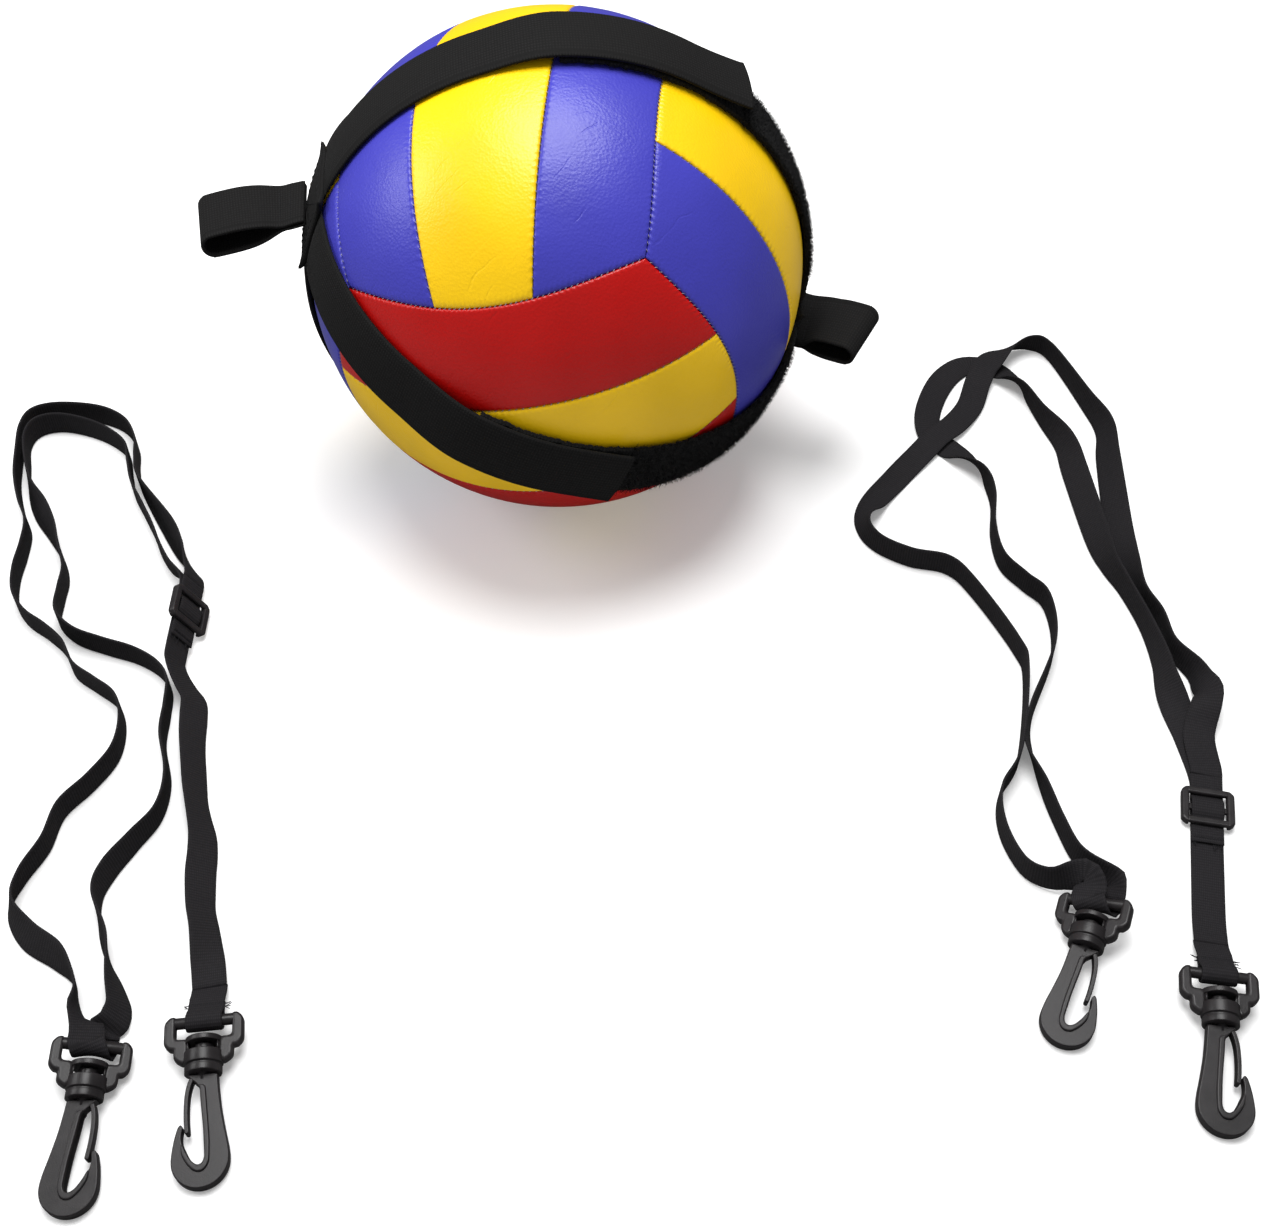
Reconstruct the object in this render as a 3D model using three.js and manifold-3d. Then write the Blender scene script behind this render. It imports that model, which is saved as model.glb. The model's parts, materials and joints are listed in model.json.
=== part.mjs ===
// Volleyball spike trainer: a ball in a hook-and-loop harness, with two elastic ropes beside it.
// Millimetres, +Z up. The origin is on the floor, under the middle of the ball.
import * as THREE from 'three';
import { mergeVertices } from 'three/addons/utils/BufferGeometryUtils.js';
import Module from 'manifold-3d';

const wasm = await Module();
wasm.setup();

// Driving dimensions

// ball
const ball_radius = 105;
const panel_thickness = 1.5;
const seam_gap = 0.5;
const bladder_thickness = 0.5;
const valve_radius = 3;
const valve_flange_radius = 7;
const valve_flange_thickness = 1.5;
const valve_needle_radius = 0.8;
const valve_recess = 0.4;

// harness webbing
const strap_width = 30;
const loop_strap_thickness = 2.6;
const smooth_strap_thickness = 1.8;
const floor_flat_depth = 0.5;
const patch_width = 36;
const tab_length_left = 43;
const tab_length_right = 37;
const tab_layer_thickness = 1.6;
const tab_inside_height = 8;
const tab_seam_length = 9;

// rope webbing
const ribbon_width = 12.8;
const ribbon_thickness = 1.1;
const ribbon_edge_flat = 0.5;
const ribbon_bevel = 0.5;
const sewn_width = 13.4;
const sewn_length = 16;
const sewn_thickness = 2.2;

// swivel ring
const ring_width = 28.2;
const ring_slot_width = 20;
const ring_plate_thickness = 4.6;
const ring_bar_radius = 2.1;
const slot_length = 4.4;
const arm_length = 12.5;
const shoulder_width = 21;
const shoulder_length = 3.6;
const shoulder_taper = 2.6;
const collar_radius = 6.6;
const collar_length = 2;
const window_length = 3.2;
const window_width = 10.4;
const barrel_radius = 7;
const barrel_length = 4.6;
const groove_radius = 6.2;
const groove_length = 0.9;
const lip_radius = 6.65;
const lip_length = 2.5;
const shank_radius = 2.3;
const shank_head_radius = 4;
const shank_head_length = 2.2;

// snap hook
const hook_length = 40;
const hook_width = 20;
const hook_plate_thickness = 4.8;
const hook_rim_thickness = 6;
const neck_width = 10.6;
const gate_thickness = 1.6;
const gate_height = 4.4;

// slider
const slider_length = 17;
const slider_width = 20.7;
const slider_rail = 3;
const slider_bar = 2.8;
const slider_height = 3.4;
const slider_corner = 3;
const webbing_reach = 16;

// clearances
const fit_gap = 0.3;
const swivel_gap = 0.4;
const turn_end_gap = 0.5;
const turn_lead = 2.5;
const cut_overrun = 5;

// Places and directions

const ball_turn_deg = [7.73, -14.28, -5.99];
const harness_turn_deg = [-38.7, 12.93, -163.97];
const hook_tilt_deg = 6;
const bar_height = 8.78;
const floor_lift = 0.05;
const turn_leg_share = 1.3;
const turn_slant = 5.6;
const sewn_droop_deg = 17.7;

const hooks = {
  left_turn: { at: [-160.2, -315.6], heading_deg: -89.1, ring_roll_deg: -20, gate_side: 1 },
  left_end: { heading_deg: -83.6, ring_roll_deg: 0, gate_side: -1 },
  right_turn: { at: [207.7, -257.2], heading_deg: -110.7, ring_roll_deg: 22, gate_side: 1 },
  right_end: { heading_deg: -98.1, ring_roll_deg: 0, gate_side: 1 },
};
const sliders = {
  left: { heading_deg: -90, roll_deg: -60 },
  right: { heading_deg: -101, roll_deg: 0 },
};
const tabs = {
  left: { side: 1, length: tab_length_left, droop_deg: 8, yaw_deg: -12 },
  right: { side: -1, length: tab_length_right, droop_deg: -5, yaw_deg: 28 },
};

// Rope routes: x, y, roll in degrees and lift above lying on the floor.
// A roll of 0 lies flat, 90 stands on edge.
const routes = {
  left_single: [
    [-123.6, -289.9, 0, 2.75], [-125.5, -281.5, 8, 1.2], [-127.5, -273, 28, 0], [-129.5, -265, 38, 0],
    [-132, -257, 40, 0], [-133.5, -249, 36, 0], [-134.7, -241, 33, 0], [-135.3, -232.5, 36, 0],
    [-136.5, -224.5, 42, 0], [-139, -216.5, 50, 0], [-141.5, -208.5, 53, 0], [-143.5, -200.5, 50, 0],
    [-145.2, -192.5, 49, 0], [-147, -184, 48, 0], [-148.5, -175.5, 44, 0], [-149.5, -167, 40, 0],
    [-150.7, -158.5, 44, 0], [-154.4, -153, 50, 0.4], [-158, -147.3, 56, 1.6], [-160.6, -141.5, 60, 3],
    [-161, -136, 60, 3.43], [-161, -114.5, 60, 3.43],
  ],
  left_inner: [
    [-161, -114.2, -120, 3.43], [-161, -101.5, -120, 3.43], [-164.5, -93.5, -110, 2.4],
    [-172, -86, -95, 0.8], [-178.5, -75.5, -90, 0], [-184, -63.5, -90, 0], [-191, -50.5, -90, 0],
    [-198, -37.5, -90, 0], [-202.5, -23.5, -90, 0], [-206, -12, -90, 0], [-216, -2.5, -90, 0],
    [-229, 4, -90, 0], [-242, 6.8, -90, 0], [-251.5, 3.5, -90, 0], [-254.3, -5.5, -90, 0],
    [-251.3, -19.5, -90, 0], [-246, -36.5, -90, 0], [-238.5, -49.5, -90, 0], [-230.5, -62.5, -90, 0],
    [-223, -77.5, -90, 0], [-218.5, -89.5, -90, 0], [-218, -101.5, -90, 0], [-216.5, -114.5, -90, 0],
    [-207, -124.5, -90, 0], [-193, -130.5, -90, 0], [-179, -135.5, -90, 0], [-168, -142.6, -90, 0],
    [-162, -151.5, -90, 0], [-160.6, -164.5, -90, 0], [-159.8, -179.5, -90, 0], [-154.5, -198.5, -90, 0],
    [-155.3, -215, -90, 0], [-162.5, -228, -90, 0], [-170, -241.5, -90, 0], [-172, -253.5, -90, 0],
    [-165.5, -271.5, -90, 0], [-158.5, -289, -90, 0], [-154.8, -298.5, -84, 0.2], [-155, -304.4, -58, 1.4],
  ],
  left_outer: [
    [-159.79, -97.8, -120, 4.13], [-160.2, -93.7, -118, 3.8], [-162.6, -88.5, -108, 2.4],
    [-166.5, -81.5, -96, 0.8], [-171, -73.5, -90, 0], [-178, -61, -90, 0], [-195, -35, -90, 0],
    [-199.5, -21.5, -90, 0], [-202, -8.5, -90, 0], [-208.5, 3.5, -90, 0], [-219, 10.8, -90, 0],
    [-232, 13.9, -90, 0], [-246, 13.9, -90, 0], [-255, 9.5, -90, 0], [-257.7, -0.5, -90, 0],
    [-256, -15.5, -90, 0], [-253, -32.5, -90, 0], [-247.5, -48.5, -90, 0], [-241.5, -61.5, -90, 0],
    [-240.3, -75.5, -90, 0], [-240.3, -89.5, -90, 0], [-237.5, -103.5, -90, 0], [-230, -114.5, -90, 0],
    [-219.5, -122.5, -90, 0], [-210, -131.5, -90, 0], [-203, -143.5, -90, 0], [-192.5, -151.5, -90, 0],
    [-182.5, -159.5, -90, 0], [-177.8, -171.5, -90, 0], [-178, -186.5, -90, 0], [-185, -200.5, -90, 0],
    [-194, -213.5, -90, 0], [-196.7, -229.5, -90, 0], [-202.5, -244, -90, 0], [-204, -257, -90, 0],
    [-195, -269, -90, 0], [-182.5, -277.5, -90, 0], [-174.5, -286, -92, 0], [-171.3, -294, -98, 0],
    [-169.3, -301, -80, 1.8],
  ],
  right_single: [
    [249.4, -271.6, 0, 2.75], [250.3, -267, 0, 1.6], [251.2, -262.5, 0, 0.6], [252.1, -257.9, 0, 0.1],
    [253, -253.3, 0, 0], [253.9, -248.7, 0, 0], [254.8, -244.1, 0, 0], [255.7, -239.5, 0, 0],
    [256.6, -234.9, 0, 0], [257.5, -230.3, 0, 0], [258.4, -225.7, 0, 0], [259.3, -221.1, 0, 0],
    [260.1, -216.8, 0, 0], [260.6, -214.1, 0, 0], [261.15, -211.3, 0, 0],
  ],
  right_inner: [
    [261.25, -210.7, 0, 0], [263.9, -196, 0, 0], [262.2, -177.5, -3, 0], [261, -170, -6, 0],
    [259.5, -163, -14, 0], [258, -156, -33, 0], [256.7, -147.5, -56, 0], [256.2, -135.5, -72, 0],
    [253.5, -116.5, -84, 0], [248.5, -96.5, -84, 0], [244.3, -82.5, -70, 0], [242.3, -64.5, -42, 0],
    [239.3, -24.5, -34, 0], [236.8, -5.5, -58, 0], [229, 11.5, -87, 0], [222.8, 30, -105, 0],
    [217, 43, -162, 0], [210, 51, -177, 0], [198.5, 53.5, -180, 0], [188, 45.5, -184, 0],
    [179.5, 30.5, -194, 0], [174.3, 13.5, -192, 0], [176.3, 1, -180, 0], [184.5, -7.5, -182, 0],
    [191.5, -18, -225, 0], [196.3, -29.5, -265, 0], [197.9, -43.5, -270, 0], [195.2, -63.5, -270, 0],
    [196.8, -81.5, -270, 0], [205, -94, -270, 0], [213, -105.5, -270, 0], [211.8, -131.5, -268, 0],
    [197, -165.5, -262, 0], [193.6, -183.5, -248, 0], [197, -203, -268, 0], [200.5, -220, -270, 0],
    [204.8, -234, -272, 0], [212.5, -242, -278, 0.2], [216.3, -247, -306, 1.2],
  ],
  right_outer: [
    [264.41, -194.57, 180, 1.4], [265.1, -190.7, 180, 1.4], [265, -177.5, 177, 1.9],
    [266.7, -170.5, 172, 2.4], [269.4, -163.5, 160, 5.6], [271.9, -156.5, 140, 4.6], [271, -150, 122, 1.1],
    [269.5, -143, 105, 0], [262.5, -131, 92, 0], [260.5, -115, 90, 0], [255.3, -100, 93, 0],
    [253, -81.5, 128, 0], [253.4, -59.5, 153, 0], [256, -15.5, 137, 0], [257.5, 4.5, 118, 0],
    [252, 22, 98, 0], [240, 57, 85, 0], [231, 64.2, 75, 0], [219, 60, 48, 1], [208.5, 50.5, 0, 4.8],
    [202, 38.5, 0, 3.8], [196.3, 23.5, 0, 0.8], [187, 9.5, 0, 2.2], [178, 1, 0, 2.6], [168.5, -10, 0, 1.6],
    [155, -26, 0, 0], [143, -42.5, 14, 0], [137.2, -58.5, 68, 0], [142, -70.5, 88, 0], [156, -79.5, 90, 0],
    [172, -84, 90, 0], [181.5, -96.5, 90, 0], [196, -129.5, 90, 0], [198, -145.5, 90, 0],
    [189.5, -186.5, 90, 0], [179, -205.5, 90, 0], [177.6, -222.5, 90, 0], [183, -239, 91, 0],
    [191.5, -245.4, 84, 0.8], [199, -245.8, 66, 3], [204.6, -246.6, 42, 6.6],
  ],
};

// Worked-out sizes

const face_half_angle = 45;
const strip_half_angle = 15.24;
const end_bulge_deg = 6.6;
const edge_reach_deg = 35.26;
const panel_across = 3;
const panel_along = 9;
const strap_step_deg = 6;
const round_sides = 16;
const small_round_sides = 12;

const rad = THREE.MathUtils.degToRad;
const strap_half_angle = strap_width / 2 / ball_radius;
const chord_sag = (angle) => ball_radius * (1 - Math.cos(angle / 2));
const strap_sag = chord_sag(rad(strap_step_deg)) + chord_sag(strap_half_angle);
const panel_sag = 2 * chord_sag(rad(2 * face_half_angle / panel_along));
const strap_radius = ball_radius + fit_gap + strap_sag;
const flap_radius = strap_radius + loop_strap_thickness + fit_gap;
const flap_outer_radius = flap_radius + smooth_strap_thickness;
const ball_height = ball_radius + fit_gap + loop_strap_thickness - floor_flat_depth;
const bladder_radius = ball_radius - panel_thickness - panel_sag - fit_gap;
const collar_start = 2 * ring_bar_radius + slot_length;
const barrel_start = collar_start + collar_length + window_length;
const ring_length = barrel_start + barrel_length + groove_length + lip_length;
const sewn_outer_radius = ring_bar_radius + fit_gap + ribbon_thickness;
const wrap_radius = ring_bar_radius + fit_gap + ribbon_thickness / 2;

// Materials

function finish(color, roughness, metalness = 0) {
  return new THREE.MeshStandardMaterial({ color, roughness, metalness });
}
const panelColours = { blue: 0x4840b9, yellow: 0xfcde0a, red: 0xb90c08 };
const webbingFinish = () => finish(0x26262a, 0.9);
const plasticFinish = () => finish(0x3c3a3c, 0.45);

// Helpers

const part = new THREE.Group();

function addMesh(parent, name, geometry, material) {
  const mesh = new THREE.Mesh(geometry, material);
  mesh.name = name;
  parent.add(mesh);
  return mesh;
}

function toSolid(geometry) {
  const plain = geometry.clone();
  plain.deleteAttribute('normal');
  plain.deleteAttribute('uv');
  const merged = mergeVertices(plain, 1e-4);
  const triVerts = new Uint32Array(merged.index.array);
  const vertProperties = new Float32Array(merged.attributes.position.array);
  return new wasm.Manifold(new wasm.Mesh({ numProp: 3, vertProperties, triVerts }));
}

function toGeometry(solid) {
  const mesh = solid.getMesh();
  const geometry = new THREE.BufferGeometry();
  geometry.setAttribute('position', new THREE.BufferAttribute(mesh.vertProperties.slice(), 3));
  geometry.setIndex(new THREE.BufferAttribute(mesh.triVerts.slice(), 1));
  geometry.computeVertexNormals();
  return geometry;
}

// A closed skin from rings of points: each ring joins the next, and both ends are capped.
function loftGeometry(rings) {
  const sides = rings[0].length;
  const positions = rings.flat().flatMap((p) => [p.x, p.y, p.z]);
  const index = [];
  for (let i = 0; i + 1 < rings.length; i += 1) {
    for (let j = 0; j < sides; j += 1) {
      const a = i * sides + j;
      const b = i * sides + (j + 1) % sides;
      index.push(a, b, b + sides, a, b + sides, a + sides);
    }
  }
  const last = (rings.length - 1) * sides;
  for (let j = 1; j + 1 < sides; j += 1) {
    index.push(0, j + 1, j);
    index.push(last, last + j, last + j + 1);
  }
  const geometry = new THREE.BufferGeometry();
  geometry.setAttribute('position', new THREE.Float32BufferAttribute(positions, 3));
  geometry.setIndex(index);
  geometry.computeVertexNormals();
  return geometry;
}

// A shell from an outer and an inner grid of the same size, closed by a rim.
function shellGeometry(outer, inner) {
  const rows = outer.length;
  const columns = outer[0].length;
  const positions = [outer, inner].flat(2).flatMap((p) => [p.x, p.y, p.z]);
  const at = (layer, i, j) => layer * rows * columns + i * columns + j;
  const index = [];
  for (let i = 0; i + 1 < rows; i += 1) {
    for (let j = 0; j + 1 < columns; j += 1) {
      const [a, b, c, d] = [[i, j], [i, j + 1], [i + 1, j + 1], [i + 1, j]].map(([r, s]) => at(0, r, s));
      index.push(a, c, b, a, d, c);
      const shift = rows * columns;
      index.push(a + shift, b + shift, c + shift, a + shift, c + shift, d + shift);
    }
  }
  const rim = [];
  for (let j = 0; j + 1 < columns; j += 1) rim.push([0, j]);
  for (let i = 0; i + 1 < rows; i += 1) rim.push([i, columns - 1]);
  for (let j = columns - 1; j > 0; j -= 1) rim.push([rows - 1, j]);
  for (let i = rows - 1; i > 0; i -= 1) rim.push([i, 0]);
  rim.forEach(([i, j], k) => {
    const [m, n] = rim[(k + 1) % rim.length];
    index.push(at(0, i, j), at(1, m, n), at(1, i, j), at(0, i, j), at(0, m, n), at(1, m, n));
  });
  const geometry = new THREE.BufferGeometry();
  geometry.setAttribute('position', new THREE.Float32BufferAttribute(positions, 3));
  geometry.setIndex(index);
  geometry.computeVertexNormals();
  return geometry;
}

function roundBar(radius, length, sides = small_round_sides) {
  return new THREE.CylinderGeometry(radius, radius, length, sides);
}

function boxAt(size, centre) {
  return new THREE.BoxGeometry(...size).translate(...centre);
}

function plateGeometry(points, thickness) {
  const shape = new THREE.Shape(points.map(([x, y]) => new THREE.Vector2(x, y)));
  const geometry = new THREE.ExtrudeGeometry(shape, { depth: thickness, bevelEnabled: false });
  return geometry.translate(0, 0, -thickness / 2);
}

// A closed loop of strap, seen from the side: an outer outline less an inner one.
function strapLoopGeometry(outer, inner, width) {
  const body = toSolid(plateGeometry(outer, width));
  return toGeometry(body.subtract(toSolid(plateGeometry(inner, width + cut_overrun))));
}

// Ball

const ballGroup = new THREE.Group();
ballGroup.position.set(0, 0, ball_height);
ballGroup.rotation.set(...ball_turn_deg.map(rad), 'XYZ');
part.add(ballGroup);

const axisX = new THREE.Vector3(1, 0, 0);
const axisY = new THREE.Vector3(0, 1, 0);
const axisZ = new THREE.Vector3(0, 0, 1);
const faces = {
  top: { normal: axisZ, across: axisX, colours: ['blue', 'yellow', 'blue'] },
  bottom: { normal: axisZ.clone().negate(), across: axisX, colours: ['red', 'yellow', 'red'] },
  front: { normal: axisY.clone().negate(), across: axisZ, colours: ['red', 'yellow', 'red'] },
  back: { normal: axisY, across: axisZ, colours: ['blue', 'yellow', 'blue'] },
  right: { normal: axisX, across: axisY, colours: ['blue', 'yellow', 'red'] },
  left: { normal: axisX.clone().negate(), across: axisY, colours: ['blue', 'yellow', 'red'] },
};
const strips = ['first', 'middle', 'last'];

function bulgeAt(direction, edgeAxis) {
  const along = Math.asin(THREE.MathUtils.clamp(direction.dot(edgeAxis), -1, 1));
  const share = Math.min(Math.abs(along) / rad(edge_reach_deg), 1);
  return rad(end_bulge_deg) * Math.cos(share * Math.PI / 2);
}

// A panel's direction on the ball: its ends bulge into the next face, its long sides give way.
function panelDirection(face, acrossDeg, alongDeg) {
  const along = new THREE.Vector3().crossVectors(face.normal, face.across);
  const direction = face.normal.clone()
    .addScaledVector(face.across, Math.tan(rad(acrossDeg)))
    .addScaledVector(along, Math.tan(rad(alongDeg)))
    .normalize();
  const sideShift = bulgeAt(direction, along) * (acrossDeg / face_half_angle) ** 3;
  const endShift = bulgeAt(direction, face.across) * (alongDeg / face_half_angle) ** 3;
  return direction.applyAxisAngle(along, -sideShift).applyAxisAngle(face.across, -endShift);
}

function panelGeometry(face, strip) {
  const edges = [-face_half_angle, -strip_half_angle, strip_half_angle, face_half_angle];
  const inset = THREE.MathUtils.radToDeg(seam_gap / 2 / ball_radius);
  const low = edges[strip] + inset;
  const high = edges[strip + 1] - inset;
  const reach = face_half_angle - inset;
  const grids = [ball_radius, ball_radius - panel_thickness].map((radius) => {
    const rows = [];
    for (let i = 0; i <= panel_across; i += 1) {
      const row = [];
      for (let j = 0; j <= panel_along; j += 1) {
        const acrossDeg = low + (high - low) * i / panel_across;
        const alongDeg = reach * (2 * j / panel_along - 1);
        row.push(panelDirection(face, acrossDeg, alongDeg).multiplyScalar(radius));
      }
      rows.push(row);
    }
    return rows;
  });
  return shellGeometry(grids[0], grids[1]);
}

const valveDirection = panelDirection(faces.back, 0, -18);
const valveTurn = new THREE.Quaternion().setFromUnitVectors(axisY, valveDirection);
const valve_hole_radius = valve_radius + fit_gap;

function panelWithValveHole(geometry) {
  const drill = roundBar(valve_hole_radius, 2 * ball_radius);
  drill.translate(0, ball_radius, 0).applyQuaternion(valveTurn);
  return toGeometry(toSolid(geometry).subtract(toSolid(drill)));
}

for (const [faceName, face] of Object.entries(faces)) {
  strips.forEach((strip, k) => {
    let geometry = panelGeometry(face, k);
    if (faceName === 'back' && strip === 'middle') geometry = panelWithValveHole(geometry);
    addMesh(ballGroup, `panel_${faceName}_${strip}`, geometry, finish(panelColours[face.colours[k]], 0.42));
  });
}

// The bladder is a thin ball, open only at the valve.
function bladderGeometry() {
  const profile = [];
  const steps = 10;
  const inner = bladder_radius - bladder_thickness;
  const mouth = Math.asin(valve_hole_radius / inner);
  for (let i = 0; i <= steps; i += 1) {
    const angle = Math.PI - (Math.PI - mouth) * i / steps;
    profile.push(new THREE.Vector2(bladder_radius * Math.sin(angle), bladder_radius * Math.cos(angle)));
  }
  for (let i = steps; i >= 0; i -= 1) {
    const angle = Math.PI - (Math.PI - mouth) * i / steps;
    profile.push(new THREE.Vector2(inner * Math.sin(angle), inner * Math.cos(angle)));
  }
  profile[0].x = 0;
  profile[profile.length - 1].x = 0;
  return new THREE.LatheGeometry(profile, round_sides).applyQuaternion(valveTurn);
}
addMesh(ballGroup, 'bladder', bladderGeometry(), finish(0x1c1c1e, 0.7));

// The valve is a plug with a flange inside the bladder and a needle hole from outside.
function valveGeometry() {
  const top = ball_radius - valve_recess;
  const flangeTop = Math.sqrt((bladder_radius - bladder_thickness) ** 2 - valve_flange_radius ** 2)
    - panel_sag - 2 * fit_gap;
  const needleEnd = flangeTop;
  const profile = [
    [0, flangeTop - valve_flange_thickness],
    [valve_flange_radius, flangeTop - valve_flange_thickness],
    [valve_flange_radius, flangeTop],
    [valve_radius, flangeTop],
    [valve_radius, top],
    [valve_needle_radius, top],
    [valve_needle_radius, needleEnd],
    [0, needleEnd],
  ].map(([x, y]) => new THREE.Vector2(x, y));
  return new THREE.LatheGeometry(profile, small_round_sides).applyQuaternion(valveTurn);
}
addMesh(ballGroup, 'valve', valveGeometry(), finish(0x1c1c1e, 0.6));

// Harness: four arms from each pole, meeting halfway

const harnessGroup = new THREE.Group();
harnessGroup.position.copy(ballGroup.position);
harnessGroup.rotation.set(...harness_turn_deg.map(rad), 'XYZ');
part.add(harnessGroup);

const arms = {
  top: { longitude_deg: 54.7, hinge_deg: 72, flap_end_deg: 114 },
  front: { longitude_deg: -46.3, hinge_deg: 70, flap_end_deg: 104 },
  back: { longitude_deg: 141, hinge_deg: 72, flap_end_deg: 104 },
  bottom: { longitude_deg: 234.2, hinge_deg: 60, flap_end_deg: 92 },
};
const arm_start_deg = 11.2;
const hollow_rise_share = 0.7;
const twist_end_share = 0.5;
const step_up_deg = 6;

// A direction on the harness: from_pole_deg is measured from the left pole, across is sideways.
function strapDirection(arm, fromPoleDeg, across) {
  const longitude = rad(arm.longitude_deg);
  const angle = rad(fromPoleDeg);
  const middle = new THREE.Vector3(0, Math.cos(longitude), Math.sin(longitude));
  const side = new THREE.Vector3(0, -Math.sin(longitude), Math.cos(longitude));
  const centre = new THREE.Vector3(Math.cos(angle), 0, 0).addScaledVector(middle, Math.sin(angle));
  return centre.multiplyScalar(Math.cos(across)).addScaledVector(side, Math.sin(across));
}

function strapGeometry(arm, stations) {
  const acrossAngles = [-strap_half_angle, 0, strap_half_angle];
  const grid = (top) => stations.map(({ at_deg, radius, thickness }) => acrossAngles.map(
    (across) => strapDirection(arm, at_deg, across).multiplyScalar(radius + (top ? thickness : 0)),
  ));
  return shellGeometry(grid(true), grid(false));
}

function stationsBetween(start, end, radius, thickness) {
  const count = Math.max(1, Math.round(Math.abs(end - start) / strap_step_deg));
  const list = [];
  for (let i = 0; i <= count; i += 1) list.push({ at_deg: start + (end - start) * i / count, radius, thickness });
  return list;
}

const floorTrim = toSolid(
  boxAt([4 * ball_radius, 4 * ball_radius, 2 * ball_radius], [0, 0, -ball_radius]),
);
const hingeGapDeg = THREE.MathUtils.radToDeg(fit_gap / ball_radius);

for (const [armName, arm] of Object.entries(arms)) {
  const riseStart = arm.hinge_deg - step_up_deg;
  const smooth = [
    ...stationsBetween(arm_start_deg, riseStart, strap_radius, smooth_strap_thickness),
    { at_deg: arm.hinge_deg - hingeGapDeg, radius: flap_radius, thickness: smooth_strap_thickness },
  ];
  addMesh(harnessGroup, `smooth_arm_${armName}`, strapGeometry(arm, smooth), webbingFinish());
  const flap = stationsBetween(arm.hinge_deg, arm.flap_end_deg, flap_radius, smooth_strap_thickness);
  addMesh(harnessGroup, `flap_${armName}`, strapGeometry(arm, flap), webbingFinish());
  const loop = stationsBetween(arm.hinge_deg, 180 - arm_start_deg, strap_radius, loop_strap_thickness);
  let loopGeometry = strapGeometry(arm, loop);
  if (armName === 'bottom') {
    harnessGroup.updateMatrixWorld(true);
    const world = harnessGroup.matrixWorld;
    const lowered = toSolid(loopGeometry.applyMatrix4(world)).subtract(floorTrim);
    loopGeometry = toGeometry(lowered).applyMatrix4(world.clone().invert());
  }
  addMesh(harnessGroup, `loop_arm_${armName}`, loopGeometry, webbingFinish());
}

// A pole patch joins four arms, and carries the tab.
function patchGeometry(side) {
  const steps = 4;
  const half = patch_width / 2 / ball_radius;
  const grid = (radius) => {
    const rows = [];
    for (let i = 0; i <= steps; i += 1) {
      const row = [];
      for (let j = 0; j <= steps; j += 1) {
        const a = half * (2 * i / steps - 1);
        const b = side * half * (2 * j / steps - 1);
        row.push(new THREE.Vector3(side, Math.tan(a), Math.tan(b)).normalize().multiplyScalar(radius));
      }
      rows.push(row);
    }
    return rows;
  };
  return shellGeometry(grid(strap_radius + loop_strap_thickness), grid(strap_radius));
}
const patch_turn_deg = 49;
const patchLeft = addMesh(harnessGroup, 'pole_patch_left', patchGeometry(1), webbingFinish());
const patchRight = addMesh(harnessGroup, 'pole_patch_right', patchGeometry(-1), webbingFinish());
for (const patch of [patchLeft, patchRight]) patch.rotation.x = rad(patch_turn_deg);

// A tab is a folded strap: sewn shut at the root, round and open at the outer end.
const tab_root_radius = tab_layer_thickness + fit_gap / 2;
const tab_root_seat = strap_radius + loop_strap_thickness + fit_gap + tab_root_radius;

// Places along a tab with half its thickness there: its outside, or the hollow inside.
function tabStations(length, outside) {
  const layer = outside ? tab_layer_thickness : 0;
  const inside = tab_inside_height / 2;
  const middle = (tab_seam_length + length) / 2;
  const end = length - inside - tab_layer_thickness;
  const list = [];
  if (outside) {
    for (const angle of [75, 45, 15]) {
      list.push([-tab_root_radius * Math.sin(rad(angle)), tab_root_radius * Math.cos(rad(angle))]);
    }
    list.push([tab_seam_length, tab_root_radius]);
  } else {
    list.push([tab_seam_length, fit_gap / 2]);
  }
  list.push([(tab_seam_length + middle) / 2, inside * hollow_rise_share + layer], [middle, inside + layer]);
  for (const angle of [90, 65, 40, 12]) {
    const reach = (inside + layer) * Math.cos(rad(angle));
    list.push([end + reach, (inside + layer) * Math.sin(rad(angle))]);
  }
  return list;
}

// The root edge lies along the ball, and the outer end is turned level.
function tabGeometry(tab, pole, sidewaysIn) {
  const droop = rad(tab.droop_deg);
  const outward = new THREE.Vector3(-tab.side * Math.cos(droop), 0, -Math.sin(droop));
  const along = outward.clone().multiplyScalar(Math.cos(rad(tab.yaw_deg)))
    .addScaledVector(axisY, tab.side * Math.sin(rad(tab.yaw_deg)));
  const sheetNormal = new THREE.Vector3().crossVectors(outward, axisY).multiplyScalar(-tab.side);
  const endSideways = new THREE.Vector3().crossVectors(along, sheetNormal).normalize();
  const ballNormal = sidewaysIn.clone().normalize();
  const rootSideways = endSideways.clone().addScaledVector(ballNormal, -endSideways.dot(ballNormal)).normalize();
  const loft = (outside) => loftGeometry(tabStations(tab.length, outside).map(([x, half]) => {
    const turned = THREE.MathUtils.clamp(x / tab.length / twist_end_share, 0, 1);
    const sideways = rootSideways.clone().lerp(endSideways, turned).normalize();
    const up = new THREE.Vector3().crossVectors(along, sideways).normalize();
    const wide = strap_width / 2 + (outside ? 0 : cut_overrun);
    return [[1, 1], [-1, 1], [-1, -1], [1, -1]].map(([a, b]) => pole.clone()
      .addScaledVector(along, x).addScaledVector(sideways, a * wide).addScaledVector(up, b * half));
  }));
  return toGeometry(toSolid(loft(true)).subtract(toSolid(loft(false))));
}

for (const [sideName, tab] of Object.entries(tabs)) {
  harnessGroup.updateMatrixWorld(true);
  const pole = new THREE.Vector3(tab.side * tab_root_seat, 0, 0).applyMatrix4(harnessGroup.matrixWorld);
  const fromCentre = pole.clone().sub(harnessGroup.position);
  addMesh(part, `tab_${sideName}`, tabGeometry(tab, pole, fromCentre), webbingFinish());
}

// Rope ribbons

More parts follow.
